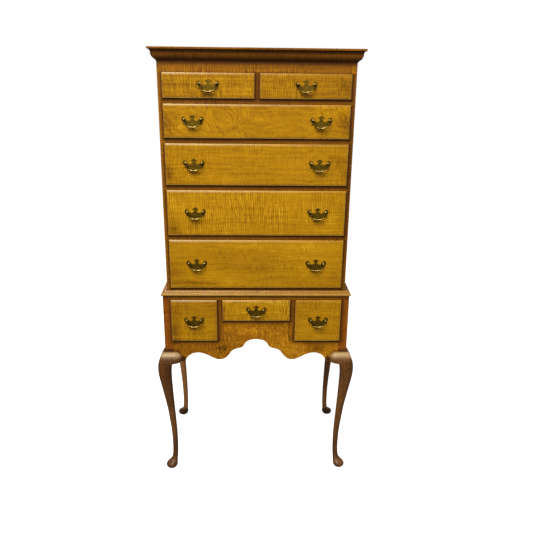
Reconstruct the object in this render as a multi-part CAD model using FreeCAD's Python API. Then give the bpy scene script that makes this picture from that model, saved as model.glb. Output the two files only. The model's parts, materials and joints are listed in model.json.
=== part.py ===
"""Highboy: a chest of drawers on a stand with cabriole legs.

Sizes are in millimetres. X runs to the viewer's right, Y to the back and Z up. The origin
is on the floor, under the middle of the case.
"""
import FreeCAD
import Part
import math
import os

Vector = FreeCAD.Vector

# ---- lower case (stand) ----
LOWER_WIDTH = 790.0
LOWER_DEPTH = 450.0
LOWER_TOP = 856.0            # where the upper case sits on the lower one
LOWER_RAIL_HEIGHT = 22.5     # rail over the lower drawers
POST = 36.0                  # square corner posts, each in one piece with its leg
SIDE_OPENING_HEIGHT = 188.0  # the two outer lower drawers
CENTRE_OPENING_HEIGHT = 94.0
CENTRE_OPENING = 281.0       # width between the two dividers
DIVIDER_WIDTH = 29.0
DIVIDER_DEPTH = 45.0
APRON_THICK = 20.0
LOWER_SIDE_THICK = 18.0
LOWER_BACK_THICK = 18.0
LOWER_BACK_RISE = 36.0       # from the knees' foot to the back board's lower edge
TENON_THICK = 8.0
TENON_LENGTH = 14.0
TENON_SETBACK = 5.0          # from the board's outer face to its tenon

# ---- apron edge: distances from the middle or from the post, heights above the knees' foot ----
APRON_DEPTH = 85.5           # from the outer drawers' sill down to the knees' foot
APRON_ARCH = ((0.0, 94.2), (22.5, 90.5), (38.0, 84.0), (49.0, 72.5), (56.0, 60.0), (66.0, 53.5),
              (88.0, 47.5), (104.0, 38.5), (118.0, 20.0), (133.0, 4.5), (150.0, -3.0))
OUTER_ARCH = ((194.0, -3.5), (171.0, 4.8), (142.0, 20.5), (113.0, 28.8), (88.0, 26.5),
              (67.0, 15.0), (55.0, 0.0), (50.5, -12.0))
SIDE_ARCH = ((50.5, -11.0), (55.0, 3.0), (67.0, 19.0), (88.0, 30.5), (113.0, 33.0),
             (145.0, 26.0), (189.0, 12.0))

# ---- cabriole legs: offsets outwards and inwards from the case's outer faces ----
KNEE_RISE = 47.0             # from the knees' foot to the underside of the square post
KNEE_CURVE = ((0.0, 0.0, -35.4, 7.0), (9.0, 7.5, -35.4, 6.0), (22.0, 15.5, -35.2, 5.0),
              (42.0, 25.0, -35.0, 4.2), (62.0, 31.0, -34.2, 3.8), (69.5, 32.2, -30.8, 3.7),
              (84.0, 33.0, -25.8, 3.4),
              (108.0, 32.4, -23.6, 3.2), (140.0, 28.2, -23.5, 3.0))
# The first number is the share of the way from the foot up to the knee.
SHANK_CURVE = ((0.81081, 15.8, -25.4, 2.7), (0.63882, 5.3, -28.2, 2.5),
               (0.46683, -2.2, -31.2, 2.3), (0.29484, -8.2, -33.8, 2.2),
               (0.14742, -10.2, -34.1, 2.1), (0.04914, -9.7, -33.5, 2.1))
FOOT_CURVE = ((60.0, -8.3, -32.3, 2.0), (46.0, -5.6, -31.3, 2.0), (36.0, -0.5, -30.6, 2.0),
              (28.0, 8.8, -30.3, 2.0), (21.0, 17.4, -30.4, 2.0), (14.0, 21.0, -30.0, 2.0),
              (8.5, 20.8, -29.0, 2.0), (4.0, 18.0, -26.0, 2.0))
SECTION_POINTS = 24          # points round each leg section
SOLE_RADIUS = 19.0
SOLE_CENTRE = -4.0           # offset of the sole's centre from the case's outer faces

# ---- knee blocks: distance along the apron, top above the knees' foot, bulge of each section ----
KNEE_BLOCK = ((-6.0, 42.0, 29.5), (6.0, 42.0, 28.5), (18.0, 38.0, 24.0), (28.0, 28.0, 17.0),
              (35.0, 15.0, 10.0), (39.0, 1.0, 4.0))
KNEE_BLOCK_BULGE = 0.66      # how far out the face stands at half its height

# ---- waist moulding, on the lower case round the foot of the upper one ----
WAIST_GAP = 0.5              # room for the upper case to lift out
WAIST_HEIGHT = 19.0
WAIST_OVERHANG = 6.0         # beyond the lower case
# (distance beyond the lower case, height over it) of the nosing's ends and middle.
WAIST_NOSING = ((2.0, 0.0), (WAIST_OVERHANG, 6.0), (0.5, 11.0))
# (distance from the upper case, height over the lower case) from the groove up the bead.
WAIST_BEAD = ((12.5, 11.5), (10.0, 13.5), (7.5, 17.5), (2.5, WAIST_HEIGHT))

# ---- upper case ----
CASE_SETBACK = 18.0          # the upper case stands in from the lower one's front and sides
UPPER_SIDE_THICK = 20.0
UPPER_SILL_HEIGHT = 27.5     # rail under the lowest long drawer
BOARD_THICK = 20.0           # top and bottom boards
LONG_OPENINGS = (208.0, 184.5, 162.0, 127.0)   # heights, from the lowest up
SMALL_OPENING = 92.0
BLADE_HEIGHT = 21.0          # rails between drawers
BLADE_DEPTH = 60.0
FRIEZE_HEIGHT = 71.0
FRIEZE_THICK = 22.0
SMALL_DIVIDER_WIDTH = 26.0
HOUSING_DEPTH = 6.0          # grooves in the sides for blades and runners
HOUSING_SETBACK = 10.0       # from the case front to the blades' tongues
BOARD_LAP = 12.0             # how far the top, bottom and back boards lap into the sides
BACK_THICK = 10.0
BACK_BOARD_COUNT = 4

# ---- cornice ----
CORNICE_HEIGHT = 49.0
CORNICE_OUT = 29.0
FASCIA_HEIGHT = 5.0
# (distance out from the case, drop below the fascia) along the cove and then the ovolo.
CORNICE_CURVES = (
    (26.5, 2.5), (20.9, 6.6), (17.8, 14.0), (18.6, 14.0), (15.6, 26.0), (5.0, 37.5),
)
CORNICE_FOOT_OUT = 2.5       # the small fillet under the ovolo

# ---- runners and guides ----
RUNNER_WIDTH = 22.0
GUIDE_HEIGHT = 22.0
LOWER_RUNNER_HEIGHT = 20.0
KICKER_HEIGHT = 20.0

# ---- drawers ----
SAME_PLACE = 1e-6            # distance under which two points are one
LIP_OVERLAP = 3.5            # over the case at the top and the ends
LIP_THICK = 7.0
LIP_ROUND = 5.5              # radius of the thumb-nail edge
FIELD_RAISE = 1.0            # the flat field stands up inside the thumb-nail edge
FIELD_INSET = 7.5
FRONT_BODY = 13.0            # thickness of the front inside the opening
SEAT_GAP = 0.3               # lip to case, and drawer side to runner
FRONT_LIFT = 1.0             # front's lower edge above the blade
END_CLEARANCE = 1.5
TOP_CLEARANCE = 4.0
DRAWER_SIDE_THICK = 11.0
DRAWER_BACK_THICK = 10.0
DRAWER_BACK_GAP = 12.0       # behind the closed drawer
DRAWER_BACK_DROP = 6.0       # the back stands lower than the sides
PANEL_THICK = 6.0
PANEL_LIFT = 7.0
PANEL_GROOVE = 5.0
TAIL_DEPTH = 9.0             # half-blind dovetails
TAIL_PITCH = 45.0            # about one tail for each of these
TAIL_SHARE = 0.28            # half a tail's root, as a share of the pitch
TAIL_SLOPE = 1.0 / 6.0

# ---- pulls ----
BORING = 63.5                # between the two posts of a pull
PULL_OFFSET = 247.5          # from the middle to each pull of a long drawer
PULL_LIFT = 10.0             # posts above the middle of the front
PLATE_THICK = 1.6
PIVOT_OUT = 14.0             # bail pivot in front of the drawer's field
POST_SHAFT_RADIUS = 2.2
POST_HOLE_CLEARANCE = 0.3
POST_COLLAR_RADIUS = 5.6
POST_COLLAR_THICK = 2.2
POST_NECK_RADIUS = 2.4
POST_HEAD_RADIUS = 4.4
POST_HEAD_HALF_WIDTH = 2.6   # the head is flat on both sides
POST_TAIL = 8.0              # threaded end inside the drawer
NUT_SIZE = 9.0
NUT_THICK = 3.0
PINTLE_RADIUS = 1.6
PINTLE_CLEARANCE = 0.08
BAIL_RADIUS = 2.1
BAIL_SIDE_GAP = 0.4          # between the post's flat and the bail
BAIL_DROP = 29.5             # from the pivot to the middle of the grip
BAIL_BOW = 46.0              # radius of the bail's bowed lower part
BAIL_CORNER = 9.0            # radius where its arms turn into the bow
UPRIGHT = 90.0               # degrees from +X
SEAM_TURN = 45.0             # keeps the rod's seam off the pintles
CORNER_SHARES = (0.0, 0.2, 0.4, 0.6, 0.8, 1.0)
ARM_SHARES = (0.67, 0.36)
# Degrees from the middle of the bow, and the radius there: a bead, a grip and a smaller bead.
GRIP_SWELL = (
    (0.0, 4.2), (1.6, 4.0), (3.3, 3.2), (5.0, 3.1), (7.5, 3.3), (10.7, 3.5), (14.0, 3.4),
    (16.5, 3.1), (18.2, 3.2), (19.8, 3.8), (21.5, 3.6), (23.1, 2.5), (25.6, 2.1),
)
# Height over the pivot, and the radius there, from the knuckle's foot to its domed top.
KNUCKLE = ((-1.9, 2.2), (0.0, 2.4), (1.6, 2.1), (2.4, 1.3))
PLATE_TOP = (0.0, 17.5)
# Right half of the plate's outline, from the finial down: a point on each arc, then its end.
PLATE_ARCS = (((6.5, 13.8), (13.2, 8.2)), ((9.6, 8.0), (5.4, 5.0)), ((7.6, -1.6), (16.0, -5.4)),
              ((23.0, -2.2), (27.0, 6.0)), ((34.5, 10.6), (42.6, 3.0)), ((42.4, -3.6), (38.0, -8.6)),
              ((36.2, -13.8), (38.0, -20.4)), ((32.5, -18.6), (27.0, -18.6)),
              ((23.6, -25.4), (16.6, -28.6)), ((8.0, -29.6), (0.0, -33.6)))

# ---- places that follow from the sizes ----
HALF_WIDTH = LOWER_WIDTH / 2
LOWER_FRONT = -LOWER_DEPTH / 2
CASE_BACK = LOWER_DEPTH / 2
POST_INNER = HALF_WIDTH - POST
LOWER_OPENING_TOP = LOWER_TOP - LOWER_RAIL_HEIGHT
SIDE_DRAWER_SILL = LOWER_OPENING_TOP - SIDE_OPENING_HEIGHT
CENTRE_DRAWER_SILL = LOWER_OPENING_TOP - CENTRE_OPENING_HEIGHT
LOBE_HEIGHT = SIDE_DRAWER_SILL - APRON_DEPTH
LOWER_BACK_EDGE = LOBE_HEIGHT + LOWER_BACK_RISE
KNEE_TOP = LOBE_HEIGHT + KNEE_RISE
DIVIDER_INNER = CENTRE_OPENING / 2
DIVIDER_OUTER = DIVIDER_INNER + DIVIDER_WIDTH
APRON_BACK = LOWER_FRONT + APRON_THICK
LOWER_BACK_FACE = CASE_BACK - LOWER_BACK_THICK
UPPER_HALF = HALF_WIDTH - CASE_SETBACK
UPPER_FRONT = LOWER_FRONT + CASE_SETBACK
UPPER_INNER = UPPER_HALF - UPPER_SIDE_THICK
UPPER_SILL = LOWER_TOP + UPPER_SILL_HEIGHT
UPPER_BACK_FACE = CASE_BACK - BACK_THICK
SMALL_SILL = UPPER_SILL + sum(LONG_OPENINGS) + len(LONG_OPENINGS) * BLADE_HEIGHT
FRIEZE_BOTTOM = SMALL_SILL + SMALL_OPENING
UPPER_TOP = FRIEZE_BOTTOM + FRIEZE_HEIGHT + BOARD_THICK
PULL_SPREAD = BORING / 2


# ---- small helpers ----

def block(x_span, y_span, z_span):
    """A box between the two ends of each span, whichever end comes first."""
    spans = (x_span, y_span, z_span)
    corner = Vector(*[min(span) for span in spans])
    return Part.makeBox(*[abs(span[1] - span[0]) for span in spans], corner)


def seated(host, guests):
    """The host with a seat cut in it for each guest."""
    for guest in guests:
        host = host.cut(guest)
    return host


def both_sides(shape):
    """The shape and its mirror image in the middle plane of the case."""
    return [shape, shape.mirror(Vector(0, 0, 0), Vector(1, 0, 0))]


def front_and_back(shape):
    """The shape and its mirror image from front to back."""
    return [shape, shape.mirror(Vector(0, 0, 0), Vector(0, 1, 0))]


def spline(points):
    """A smooth edge through the points."""
    curve = Part.BSplineCurve()
    curve.interpolate(points)
    return curve.toShape()


def joined_lines(points):
    """Straight edges from each point to the next."""
    return [Part.makeLine(start, end) for start, end in zip(points, points[1:])]


def prism(edges, direction):
    """A solid from a closed flat outline, pushed along the direction."""
    return Part.Face(Part.Wire(edges)).extrude(direction)


# ---- legs, knee blocks ----

def leg_section(height, outward, inward, squareness):
    """A rounded square section of the front right leg."""
    half = (outward - inward) / 2
    middle = (outward + inward) / 2
    points = []
    for step in range(SECTION_POINTS):
        turn = 2 * math.pi * step / SECTION_POINTS
        across = math.copysign(abs(math.cos(turn)) ** (2 / squareness), math.cos(turn))
        along = math.copysign(abs(math.sin(turn)) ** (2 / squareness), math.sin(turn))
        points.append(Vector(HALF_WIDTH + middle + half * across,
                             LOWER_FRONT - middle - half * along, height))
    curve = Part.BSplineCurve()
    curve.interpolate(points, PeriodicFlag=True)
    return Part.Wire(curve.toShape())


def front_right_leg(joined):
    """Post, cabriole and pad foot in one piece, with a mortise for each board that joins it."""
    knee = [(KNEE_TOP - drop, outward, inward, squareness)
            for drop, outward, inward, squareness in KNEE_CURVE]
    shank_foot = FOOT_CURVE[0][0]
    shank_length = knee[-1][0] - shank_foot
    shank = [(shank_foot + share * shank_length, outward, inward, squareness)
             for share, outward, inward, squareness in SHANK_CURVE]
    sections = [leg_section(*station) for station in knee + shank + list(FOOT_CURVE)]
    cabriole = Part.makeLoft(sections, True)
    post = block((POST_INNER, HALF_WIDTH), (LOWER_FRONT, LOWER_FRONT + POST), (KNEE_TOP, LOWER_TOP))
    post = seated(post, joined)
    sole_top = FOOT_CURVE[-1][0]
    sole = Part.makeCylinder(SOLE_RADIUS, sole_top,
                             Vector(HALF_WIDTH + SOLE_CENTRE, LOWER_FRONT - SOLE_CENTRE, 0))
    return post.fuse(cabriole).fuse(sole)


def knee_block(place):
    """The rounded block that carries the knee's curve on to the apron.

    place turns a distance along the apron, a distance out of its face and a height
    into a point.
    """
    sections = []
    bottom = LOBE_HEIGHT + OUTER_ARCH[-1][1]
    for along, rise, bulge in KNEE_BLOCK:
        top = LOBE_HEIGHT + rise
        low_back = place(along, 0, bottom)
        high_back = place(along, 0, top)
        middle = place(along, bulge * KNEE_BLOCK_BULGE, (top + bottom) / 2)
        low_front = place(along, bulge, bottom)
        face = Part.Arc(high_back, middle, low_front).toShape()
        sections.append(Part.Wire([Part.makeLine(low_back, high_back), face,
                                   Part.makeLine(low_front, low_back)]))
    return Part.makeLoft(sections, True)


def knee_blocks(legs):
    """Two blocks on the front and one at each end of each side."""
    on_front = knee_block(lambda along, out, height:
                          Vector(POST_INNER - along, LOWER_FRONT - out, height))
    on_side = knee_block(lambda along, out, height:
                         Vector(HALF_WIDTH + out, LOWER_FRONT + POST + along, height))
    blocks = both_sides(on_front)
    for block_of_pair in front_and_back(on_side):
        blocks += both_sides(block_of_pair)
    return [seated(one, legs) for one in blocks]


# ---- lower case ----

def apron_edge_points(table):
    """The apron's edge on the right half, from a table of distances and heights."""
    return [Vector(along, LOWER_FRONT, LOBE_HEIGHT + height) for along, height in table]


def front_apron():
    """The scalloped apron with its raised panel between the dividers, tenoned at both ends."""
    centre_curve = apron_edge_points(APRON_ARCH)
    outer_curve = apron_edge_points([(POST_INNER - along, height) for along, height in OUTER_ARCH])
    end_height = outer_curve[-1].z
    right_edge = [spline(centre_curve), Part.makeLine(centre_curve[-1], outer_curve[0]),
                  spline(outer_curve)]
    outline = joined_lines([
        outer_curve[-1],
        Vector(POST_INNER, LOWER_FRONT, end_height),
        Vector(POST_INNER, LOWER_FRONT, SIDE_DRAWER_SILL),
        Vector(DIVIDER_INNER, LOWER_FRONT, SIDE_DRAWER_SILL),
        Vector(DIVIDER_INNER, LOWER_FRONT, CENTRE_DRAWER_SILL),
        Vector(0, LOWER_FRONT, CENTRE_DRAWER_SILL),
        centre_curve[0]])
    right_half = prism(right_edge + outline, Vector(0, APRON_THICK, 0))
    tenon = block((POST_INNER, POST_INNER + TENON_LENGTH),
                  (LOWER_FRONT + TENON_SETBACK, LOWER_FRONT + TENON_SETBACK + TENON_THICK),
                  (KNEE_TOP, SIDE_DRAWER_SILL))
    right, left = both_sides(right_half.fuse(tenon))
    return right.fuse(left).removeSplitter()


def lower_side():
    """Right side board with its arched lower edge, tenoned into both posts."""
    inner = HALF_WIDTH - LOWER_SIDE_THICK
    front_end = LOWER_FRONT + POST
    curve = [Vector(inner, front_end + along, LOBE_HEIGHT + height) for along, height in SIDE_ARCH]
    curve[-1].y = 0
    outline = joined_lines([
        curve[0],
        Vector(inner, front_end, curve[0].z),
        Vector(inner, front_end, LOWER_TOP),
        Vector(inner, 0, LOWER_TOP),
        curve[-1]])
    front_half = prism([spline(curve)] + outline, Vector(LOWER_SIDE_THICK, 0, 0))
    tenon_face = HALF_WIDTH - TENON_SETBACK
    tenon = block((tenon_face - TENON_THICK, tenon_face), (front_end - TENON_LENGTH, front_end),
                  (KNEE_TOP, LOWER_OPENING_TOP))
    front, back = front_and_back(front_half.fuse(tenon))
    return front.fuse(back).removeSplitter()


def lower_back():
    """Back board between the rear posts."""
    board = block((-POST_INNER, POST_INNER), (LOWER_BACK_FACE, CASE_BACK), (LOWER_BACK_EDGE, LOWER_TOP))
    tenon_face = CASE_BACK - TENON_SETBACK
    tenon = block((-POST_INNER - TENON_LENGTH, POST_INNER + TENON_LENGTH),
                  (tenon_face - TENON_THICK, tenon_face), (KNEE_TOP, LOWER_OPENING_TOP))
    return board.fuse(tenon).removeSplitter()


def lower_front_frame():
    """The rail over the lower drawers and the two dividers under it, with stub tenons."""
    rail = block((-POST_INNER, POST_INNER), (LOWER_FRONT, LOWER_FRONT + BLADE_DEPTH),
                 (LOWER_OPENING_TOP, LOWER_TOP))
    tenon_front = LOWER_FRONT + TENON_SETBACK
    for end in (-1, 1):
        rail = rail.fuse(block((end * POST_INNER, end * (POST_INNER + TENON_LENGTH)),
                               (tenon_front, tenon_front + POST / 2),
                               (LOWER_OPENING_TOP + TENON_SETBACK, LOWER_TOP)))
    divider = block((DIVIDER_INNER, DIVIDER_OUTER), (LOWER_FRONT, LOWER_FRONT + DIVIDER_DEPTH),
                    (SIDE_DRAWER_SILL, LOWER_OPENING_TOP))
    stub = block((DIVIDER_INNER + TENON_SETBACK, DIVIDER_OUTER - TENON_SETBACK),
                 (tenon_front, tenon_front + TENON_THICK),
                 (SIDE_DRAWER_SILL - TENON_THICK, LOWER_OPENING_TOP + TENON_THICK))
    dividers = both_sides(divider.fuse(stub).removeSplitter())
    return seated(rail.removeSplitter(), dividers), dividers


def lower_runners():
    """Runners, guides and kickers for the three lower drawers, right and left."""
    side_inner = HALF_WIDTH - LOWER_SIDE_THICK
    behind_front = LOWER_FRONT + POST
    behind_divider = LOWER_FRONT + DIVIDER_DEPTH
    behind_rail = LOWER_FRONT + BLADE_DEPTH
    side_sill = (SIDE_DRAWER_SILL - LOWER_RUNNER_HEIGHT, SIDE_DRAWER_SILL)
    centre_sill = (CENTRE_DRAWER_SILL - LOWER_RUNNER_HEIGHT, CENTRE_DRAWER_SILL)
    kicker_height = (LOWER_OPENING_TOP, LOWER_TOP)
    outer = block((POST_INNER - RUNNER_WIDTH, POST_INNER), (APRON_BACK, LOWER_BACK_FACE), side_sill)
    outer = outer.fuse(block((POST_INNER, side_inner), (behind_front, -behind_front),
                             (side_sill[0], SIDE_DRAWER_SILL + GUIDE_HEIGHT)))
    inner = block((DIVIDER_INNER, DIVIDER_OUTER + RUNNER_WIDTH), (APRON_BACK, LOWER_BACK_FACE), side_sill)
    inner = inner.fuse(block((DIVIDER_INNER, DIVIDER_OUTER), (behind_divider, LOWER_BACK_FACE),
                             (SIDE_DRAWER_SILL, SIDE_DRAWER_SILL + GUIDE_HEIGHT)))
    centre = block((DIVIDER_INNER - RUNNER_WIDTH, DIVIDER_INNER), (APRON_BACK, LOWER_BACK_FACE),
                   centre_sill)
    centre = centre.fuse(block((DIVIDER_INNER, DIVIDER_OUTER), (behind_divider, LOWER_BACK_FACE),
                               (centre_sill[0], CENTRE_DRAWER_SILL + GUIDE_HEIGHT)))
    outer_kicker = block((POST_INNER - RUNNER_WIDTH, side_inner), (behind_front, -behind_front),
                         kicker_height)
    outer_kicker = outer_kicker.cut(block((0, POST_INNER), (LOWER_FRONT, behind_rail), kicker_height))
    inner_kicker = block((DIVIDER_INNER - RUNNER_WIDTH, DIVIDER_OUTER + RUNNER_WIDTH),
                         (behind_rail, LOWER_BACK_FACE), kicker_height)
    runners = []
    for piece in (outer, inner, centre, outer_kicker, inner_kicker):
        runners += both_sides(piece.removeSplitter())
    return runners


# ---- mouldings on three sides ----

def moulding(outline, inside, front, out):
    """Front run and two returns of a moulding, mitred at the corners.

    outline lists edges of the section as (distance out, height) pairs, two for a line and
    three for an arc. inside is half the width that the moulding goes round, and front the
    Y of the face that it is fixed to.
    """
    def section(place):
        edges = []
        for pieces in outline:
            points = [place(*pair) for pair in pieces]
            if len(points) == 2:
                edges.append(Part.makeLine(*points))
            else:
                edges.append(Part.Arc(*points).toShape())
        return edges

    reach = inside + out
    low = min(pair[1] for pieces in outline for pair in pieces)
    high = max(pair[1] for pieces in outline for pair in pieces)
    run = prism(section(lambda distance, height: Vector(-reach, front - distance, height)),
                Vector(2 * reach, 0, 0))
    side = prism(section(lambda distance, height: Vector(inside + distance, front - out, height)),
                 Vector(0, CASE_BACK - front + out, 0))
    plan = joined_lines([Vector(-inside, front, low), Vector(-reach, front - out, low),
                         Vector(reach, front - out, low), Vector(inside, front, low),
                         Vector(-inside, front, low)])
    mitre = prism(plan, Vector(0, 0, high - low))
    return [run.common(mitre)] + both_sides(side.cut(mitre))


def cornice():
    """Flat fascia over a cove, an ovolo and a small fillet."""
    top = UPPER_TOP
    fascia = top - FASCIA_HEIGHT
    foot = top - CORNICE_HEIGHT
    points = [(out, fascia - drop) for out, drop in CORNICE_CURVES]
    cove_top, cove_middle, cove_foot, ovolo_top, ovolo_middle, ovolo_foot = points
    fillet_out = CORNICE_FOOT_OUT
    outline = [
        ((0, foot), (0, top)),
        ((0, top), (CORNICE_OUT, top)),
        ((CORNICE_OUT, top), (CORNICE_OUT, fascia)),
        ((CORNICE_OUT, fascia), cove_top),
        (cove_top, cove_middle, cove_foot),
        (cove_foot, ovolo_top),
        (ovolo_top, ovolo_middle, ovolo_foot),
        (ovolo_foot, (fillet_out, ovolo_foot[1])),
        ((fillet_out, ovolo_foot[1]), (fillet_out, foot)),
        ((fillet_out, foot), (0, foot))]
    return moulding(outline, UPPER_HALF, UPPER_FRONT, CORNICE_OUT)


def waist_moulding():
    """A half-round nosing, a groove and a bead against the upper case."""
    base = LOWER_TOP
    nosing = [(CASE_SETBACK + out, base + lift) for out, lift in WAIST_NOSING]
    tip = CASE_SETBACK + WAIST_OVERHANG
    bead = [(out, base + lift) for out, lift in WAIST_BEAD]
    outline = [
        ((WAIST_GAP, base + WAIST_HEIGHT), (WAIST_GAP, base)),
        ((WAIST_GAP, base), nosing[0]),
        tuple(nosing),
        (nosing[2], bead[0], bead[1]),
        (bead[1], bead[2], bead[3]),
        (bead[3], (WAIST_GAP, base + WAIST_HEIGHT))]
    return moulding(outline, UPPER_HALF, UPPER_FRONT, tip)


# ---- upper case ----

def housed_rail(bottom, top, depth):
    """A rail across the upper case, with a tongue in each side."""
    tongue = UPPER_INNER + HOUSING_DEPTH
    rail = block((-UPPER_INNER, UPPER_INNER), (UPPER_FRONT, UPPER_FRONT + depth), (bottom, top))
    tongues = block((-tongue, tongue), (UPPER_FRONT + HOUSING_SETBACK, UPPER_FRONT + depth),
                    (bottom, top))
    return rail.fuse(tongues).removeSplitter()


def blade_bottoms():
    """Heights of the undersides of the blades over the long drawers."""
    bottoms = []
    level = UPPER_SILL
    for opening in LONG_OPENINGS:
        level += opening
        bottoms.append(level)
        level += BLADE_HEIGHT
    return bottoms


def upper_rails():
    """Bottom rail, blades and frieze rail."""
    rails = [housed_rail(LOWER_TOP, UPPER_SILL, FRIEZE_THICK)]
    for bottom in blade_bottoms():
        rails.append(housed_rail(bottom, bottom + BLADE_HEIGHT, BLADE_DEPTH))
    rails.append(housed_rail(FRIEZE_BOTTOM, UPPER_TOP - BOARD_THICK, FRIEZE_THICK))
    return rails


def upper_runners():
    """Runners behind the blades, strips on the bottom board, and kickers over the top drawers."""
    runners = []
    inner = UPPER_INNER - RUNNER_WIDTH
    housed = UPPER_INNER + HOUSING_DEPTH
    behind_blade = (UPPER_FRONT + BLADE_DEPTH, UPPER_BACK_FACE)
    behind_frieze = (UPPER_FRONT + FRIEZE_THICK, UPPER_BACK_FACE)
    centre = SMALL_DIVIDER_WIDTH / 2 + RUNNER_WIDTH
    kicker = (FRIEZE_BOTTOM, FRIEZE_BOTTOM + KICKER_HEIGHT)
    runners += both_sides(block((inner, UPPER_INNER), behind_frieze, (LOWER_TOP + BOARD_THICK, UPPER_SILL)))
    for bottom in blade_bottoms():
        runners += both_sides(block((inner, housed), behind_blade, (bottom, bottom + BLADE_HEIGHT)))
    runners.append(block((-centre, centre), behind_blade, (SMALL_SILL - BLADE_HEIGHT, SMALL_SILL)))
    runners += both_sides(block((inner, housed), behind_frieze, kicker))
    runners.append(block((-centre, centre), behind_frieze, kicker))
    return runners


def small_divider():
    """The upright between the two small drawers, and the guide behind it."""
    half = SMALL_DIVIDER_WIDTH / 2
    upright = block((-half, half), (UPPER_FRONT, UPPER_FRONT + BLADE_DEPTH), (SMALL_SILL, FRIEZE_BOTTOM))
    tenon_front = UPPER_FRONT + TENON_SETBACK
    stub = block((-half + TENON_SETBACK, half - TENON_SETBACK), (tenon_front, tenon_front + TENON_THICK),
                 (SMALL_SILL - TENON_THICK, FRIEZE_BOTTOM + TENON_THICK))
    notch = block((-half, half), (UPPER_FRONT + FRIEZE_THICK, UPPER_FRONT + BLADE_DEPTH),
                  (FRIEZE_BOTTOM - GUIDE_HEIGHT, FRIEZE_BOTTOM))
    guide = block((-half, half), (UPPER_FRONT + BLADE_DEPTH, UPPER_BACK_FACE),
                  (SMALL_SILL, SMALL_SILL + GUIDE_HEIGHT))
    return [upright.cut(notch).fuse(stub).removeSplitter(), guide]


def upper_board(bottom, front):
    """Top or bottom board, lapped into the sides."""
    half = UPPER_INNER + BOARD_LAP
    return block((-half, half), (front, UPPER_BACK_FACE), (bottom, bottom + BOARD_THICK))


def upper_back_boards():
    """Horizontal back boards in the rebates of the sides."""
    half = UPPER_INNER + BOARD_LAP
    step = (UPPER_TOP - LOWER_TOP) / BACK_BOARD_COUNT
    return [block((-half, half), (UPPER_BACK_FACE, CASE_BACK),
                  (LOWER_TOP + number * step, LOWER_TOP + (number + 1) * step))
            for number in range(BACK_BOARD_COUNT)]


# ---- drawers ----

class Opening:
    """One drawer's opening in the case front, and the places of its pulls."""

    def __init__(self, name, x_span, z_span, front, back, pull_sides):
        self.name = name
        self.left, self.right = x_span
        self.bottom, self.top = z_span
        self.front = front
        self.back = back
        self.field = front - SEAT_GAP - LIP_THICK - FIELD_RAISE
        self.body_back = front - SEAT_GAP + FRONT_BODY
        self.side_bottom = self.bottom + SEAT_GAP
        self.side_top = self.top - TOP_CLEARANCE
        self.end = back - DRAWER_BACK_GAP
        self.panel_top = self.side_bottom + PANEL_LIFT + PANEL_THICK
        middle = (self.left + self.right) / 2
        pull_height = (self.bottom + self.top) / 2 + PULL_LIFT
        self.pulls = [(side, middle + offset, pull_height) for side, offset in pull_sides]


def openings():
    """All nine drawer openings."""
    single = [("", 0.0)]
    pair = [("_left", -PULL_OFFSET), ("_right", PULL_OFFSET)]
    found = []
    tops = blade_bottoms()
    for number, (top, height) in enumerate(zip(tops, LONG_OPENINGS)):
        found.append(Opening("long_drawer_%d" % (len(LONG_OPENINGS) - number),
                             (-UPPER_INNER, UPPER_INNER), (top - height, top),
                             UPPER_FRONT, UPPER_BACK_FACE, pair))
    half = SMALL_DIVIDER_WIDTH / 2
    small = (("small_drawer_left", (-UPPER_INNER, -half)),
             ("small_drawer_right", (half, UPPER_INNER)))
    for name, span in small:
        found.append(Opening(name, span, (SMALL_SILL, FRIEZE_BOTTOM),
                             UPPER_FRONT, UPPER_BACK_FACE, single))
    lower = (("lower_drawer_left", (-POST_INNER, -DIVIDER_OUTER), SIDE_DRAWER_SILL),
             ("lower_drawer_centre", (-DIVIDER_INNER, DIVIDER_INNER), CENTRE_DRAWER_SILL),
             ("lower_drawer_right", (DIVIDER_OUTER, POST_INNER), SIDE_DRAWER_SILL))
    for name, span, sill in lower:
        found.append(Opening(name, span, (sill, LOWER_OPENING_TOP),
                             LOWER_FRONT, LOWER_BACK_FACE, single))
    return found


def drawer_front(opening):
    """The front: a lipped, thumb-nail moulded face and the body that enters the opening."""
    lip_back = opening.front - SEAT_GAP
    lip_front = lip_back - LIP_THICK
    left = opening.left - LIP_OVERLAP
    right = opening.right + LIP_OVERLAP
    bottom = opening.bottom + FRONT_LIFT
    top = opening.top + LIP_OVERLAP
    lip = block((left, right), (lip_front, lip_back), (bottom, top))
    rim = [edge for edge in lip.Edges
           if all(abs(v.Point.y - lip_front) < SAME_PLACE for v in edge.Vertexes)]
    lip = lip.makeFillet(LIP_ROUND, rim)
    field = block((left + FIELD_INSET, right - FIELD_INSET), (opening.field, lip_front + FIELD_RAISE),
                  (bottom + FIELD_INSET, top - FIELD_INSET))
    body = block((opening.left + END_CLEARANCE, opening.right - END_CLEARANCE),
                 (lip_back - FIELD_RAISE, opening.body_back),
                 (bottom, opening.top - TOP_CLEARANCE / 2))
    return lip.fuse(field).fuse(body).removeSplitter()


def tail_outline(root, tip, low, high):
    """Points up one end of a drawer side, out to the tips of its dovetails and back."""
    count = max(2, round((high - low) / TAIL_PITCH))
    pitch = (high - low) / count
    root_half = pitch * TAIL_SHARE
    tip_half = root_half + abs(tip - root) * TAIL_SLOPE
    points = [(root, low)]
    for number in range(count):
        middle = low + (number + 0.5) * pitch
        points += [(root, middle - root_half), (tip, middle - tip_half),
                   (tip, middle + tip_half), (root, middle + root_half)]
    return points + [(root, high)]


def drawer_side(opening, outer, inner):
    """One side, with tails at both ends."""
    low = opening.side_bottom
    high = opening.side_top
    front_end = tail_outline(opening.body_back, opening.body_back - TAIL_DEPTH, low, high)
    back_end = tail_outline(opening.end - DRAWER_BACK_THICK, opening.end, low, high)
    outline = front_end + back_end[::-1]
    points = [Vector(outer, y, z) for y, z in outline + outline[:1]]
    return prism(joined_lines(points), Vector(inner - outer, 0, 0))


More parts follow.
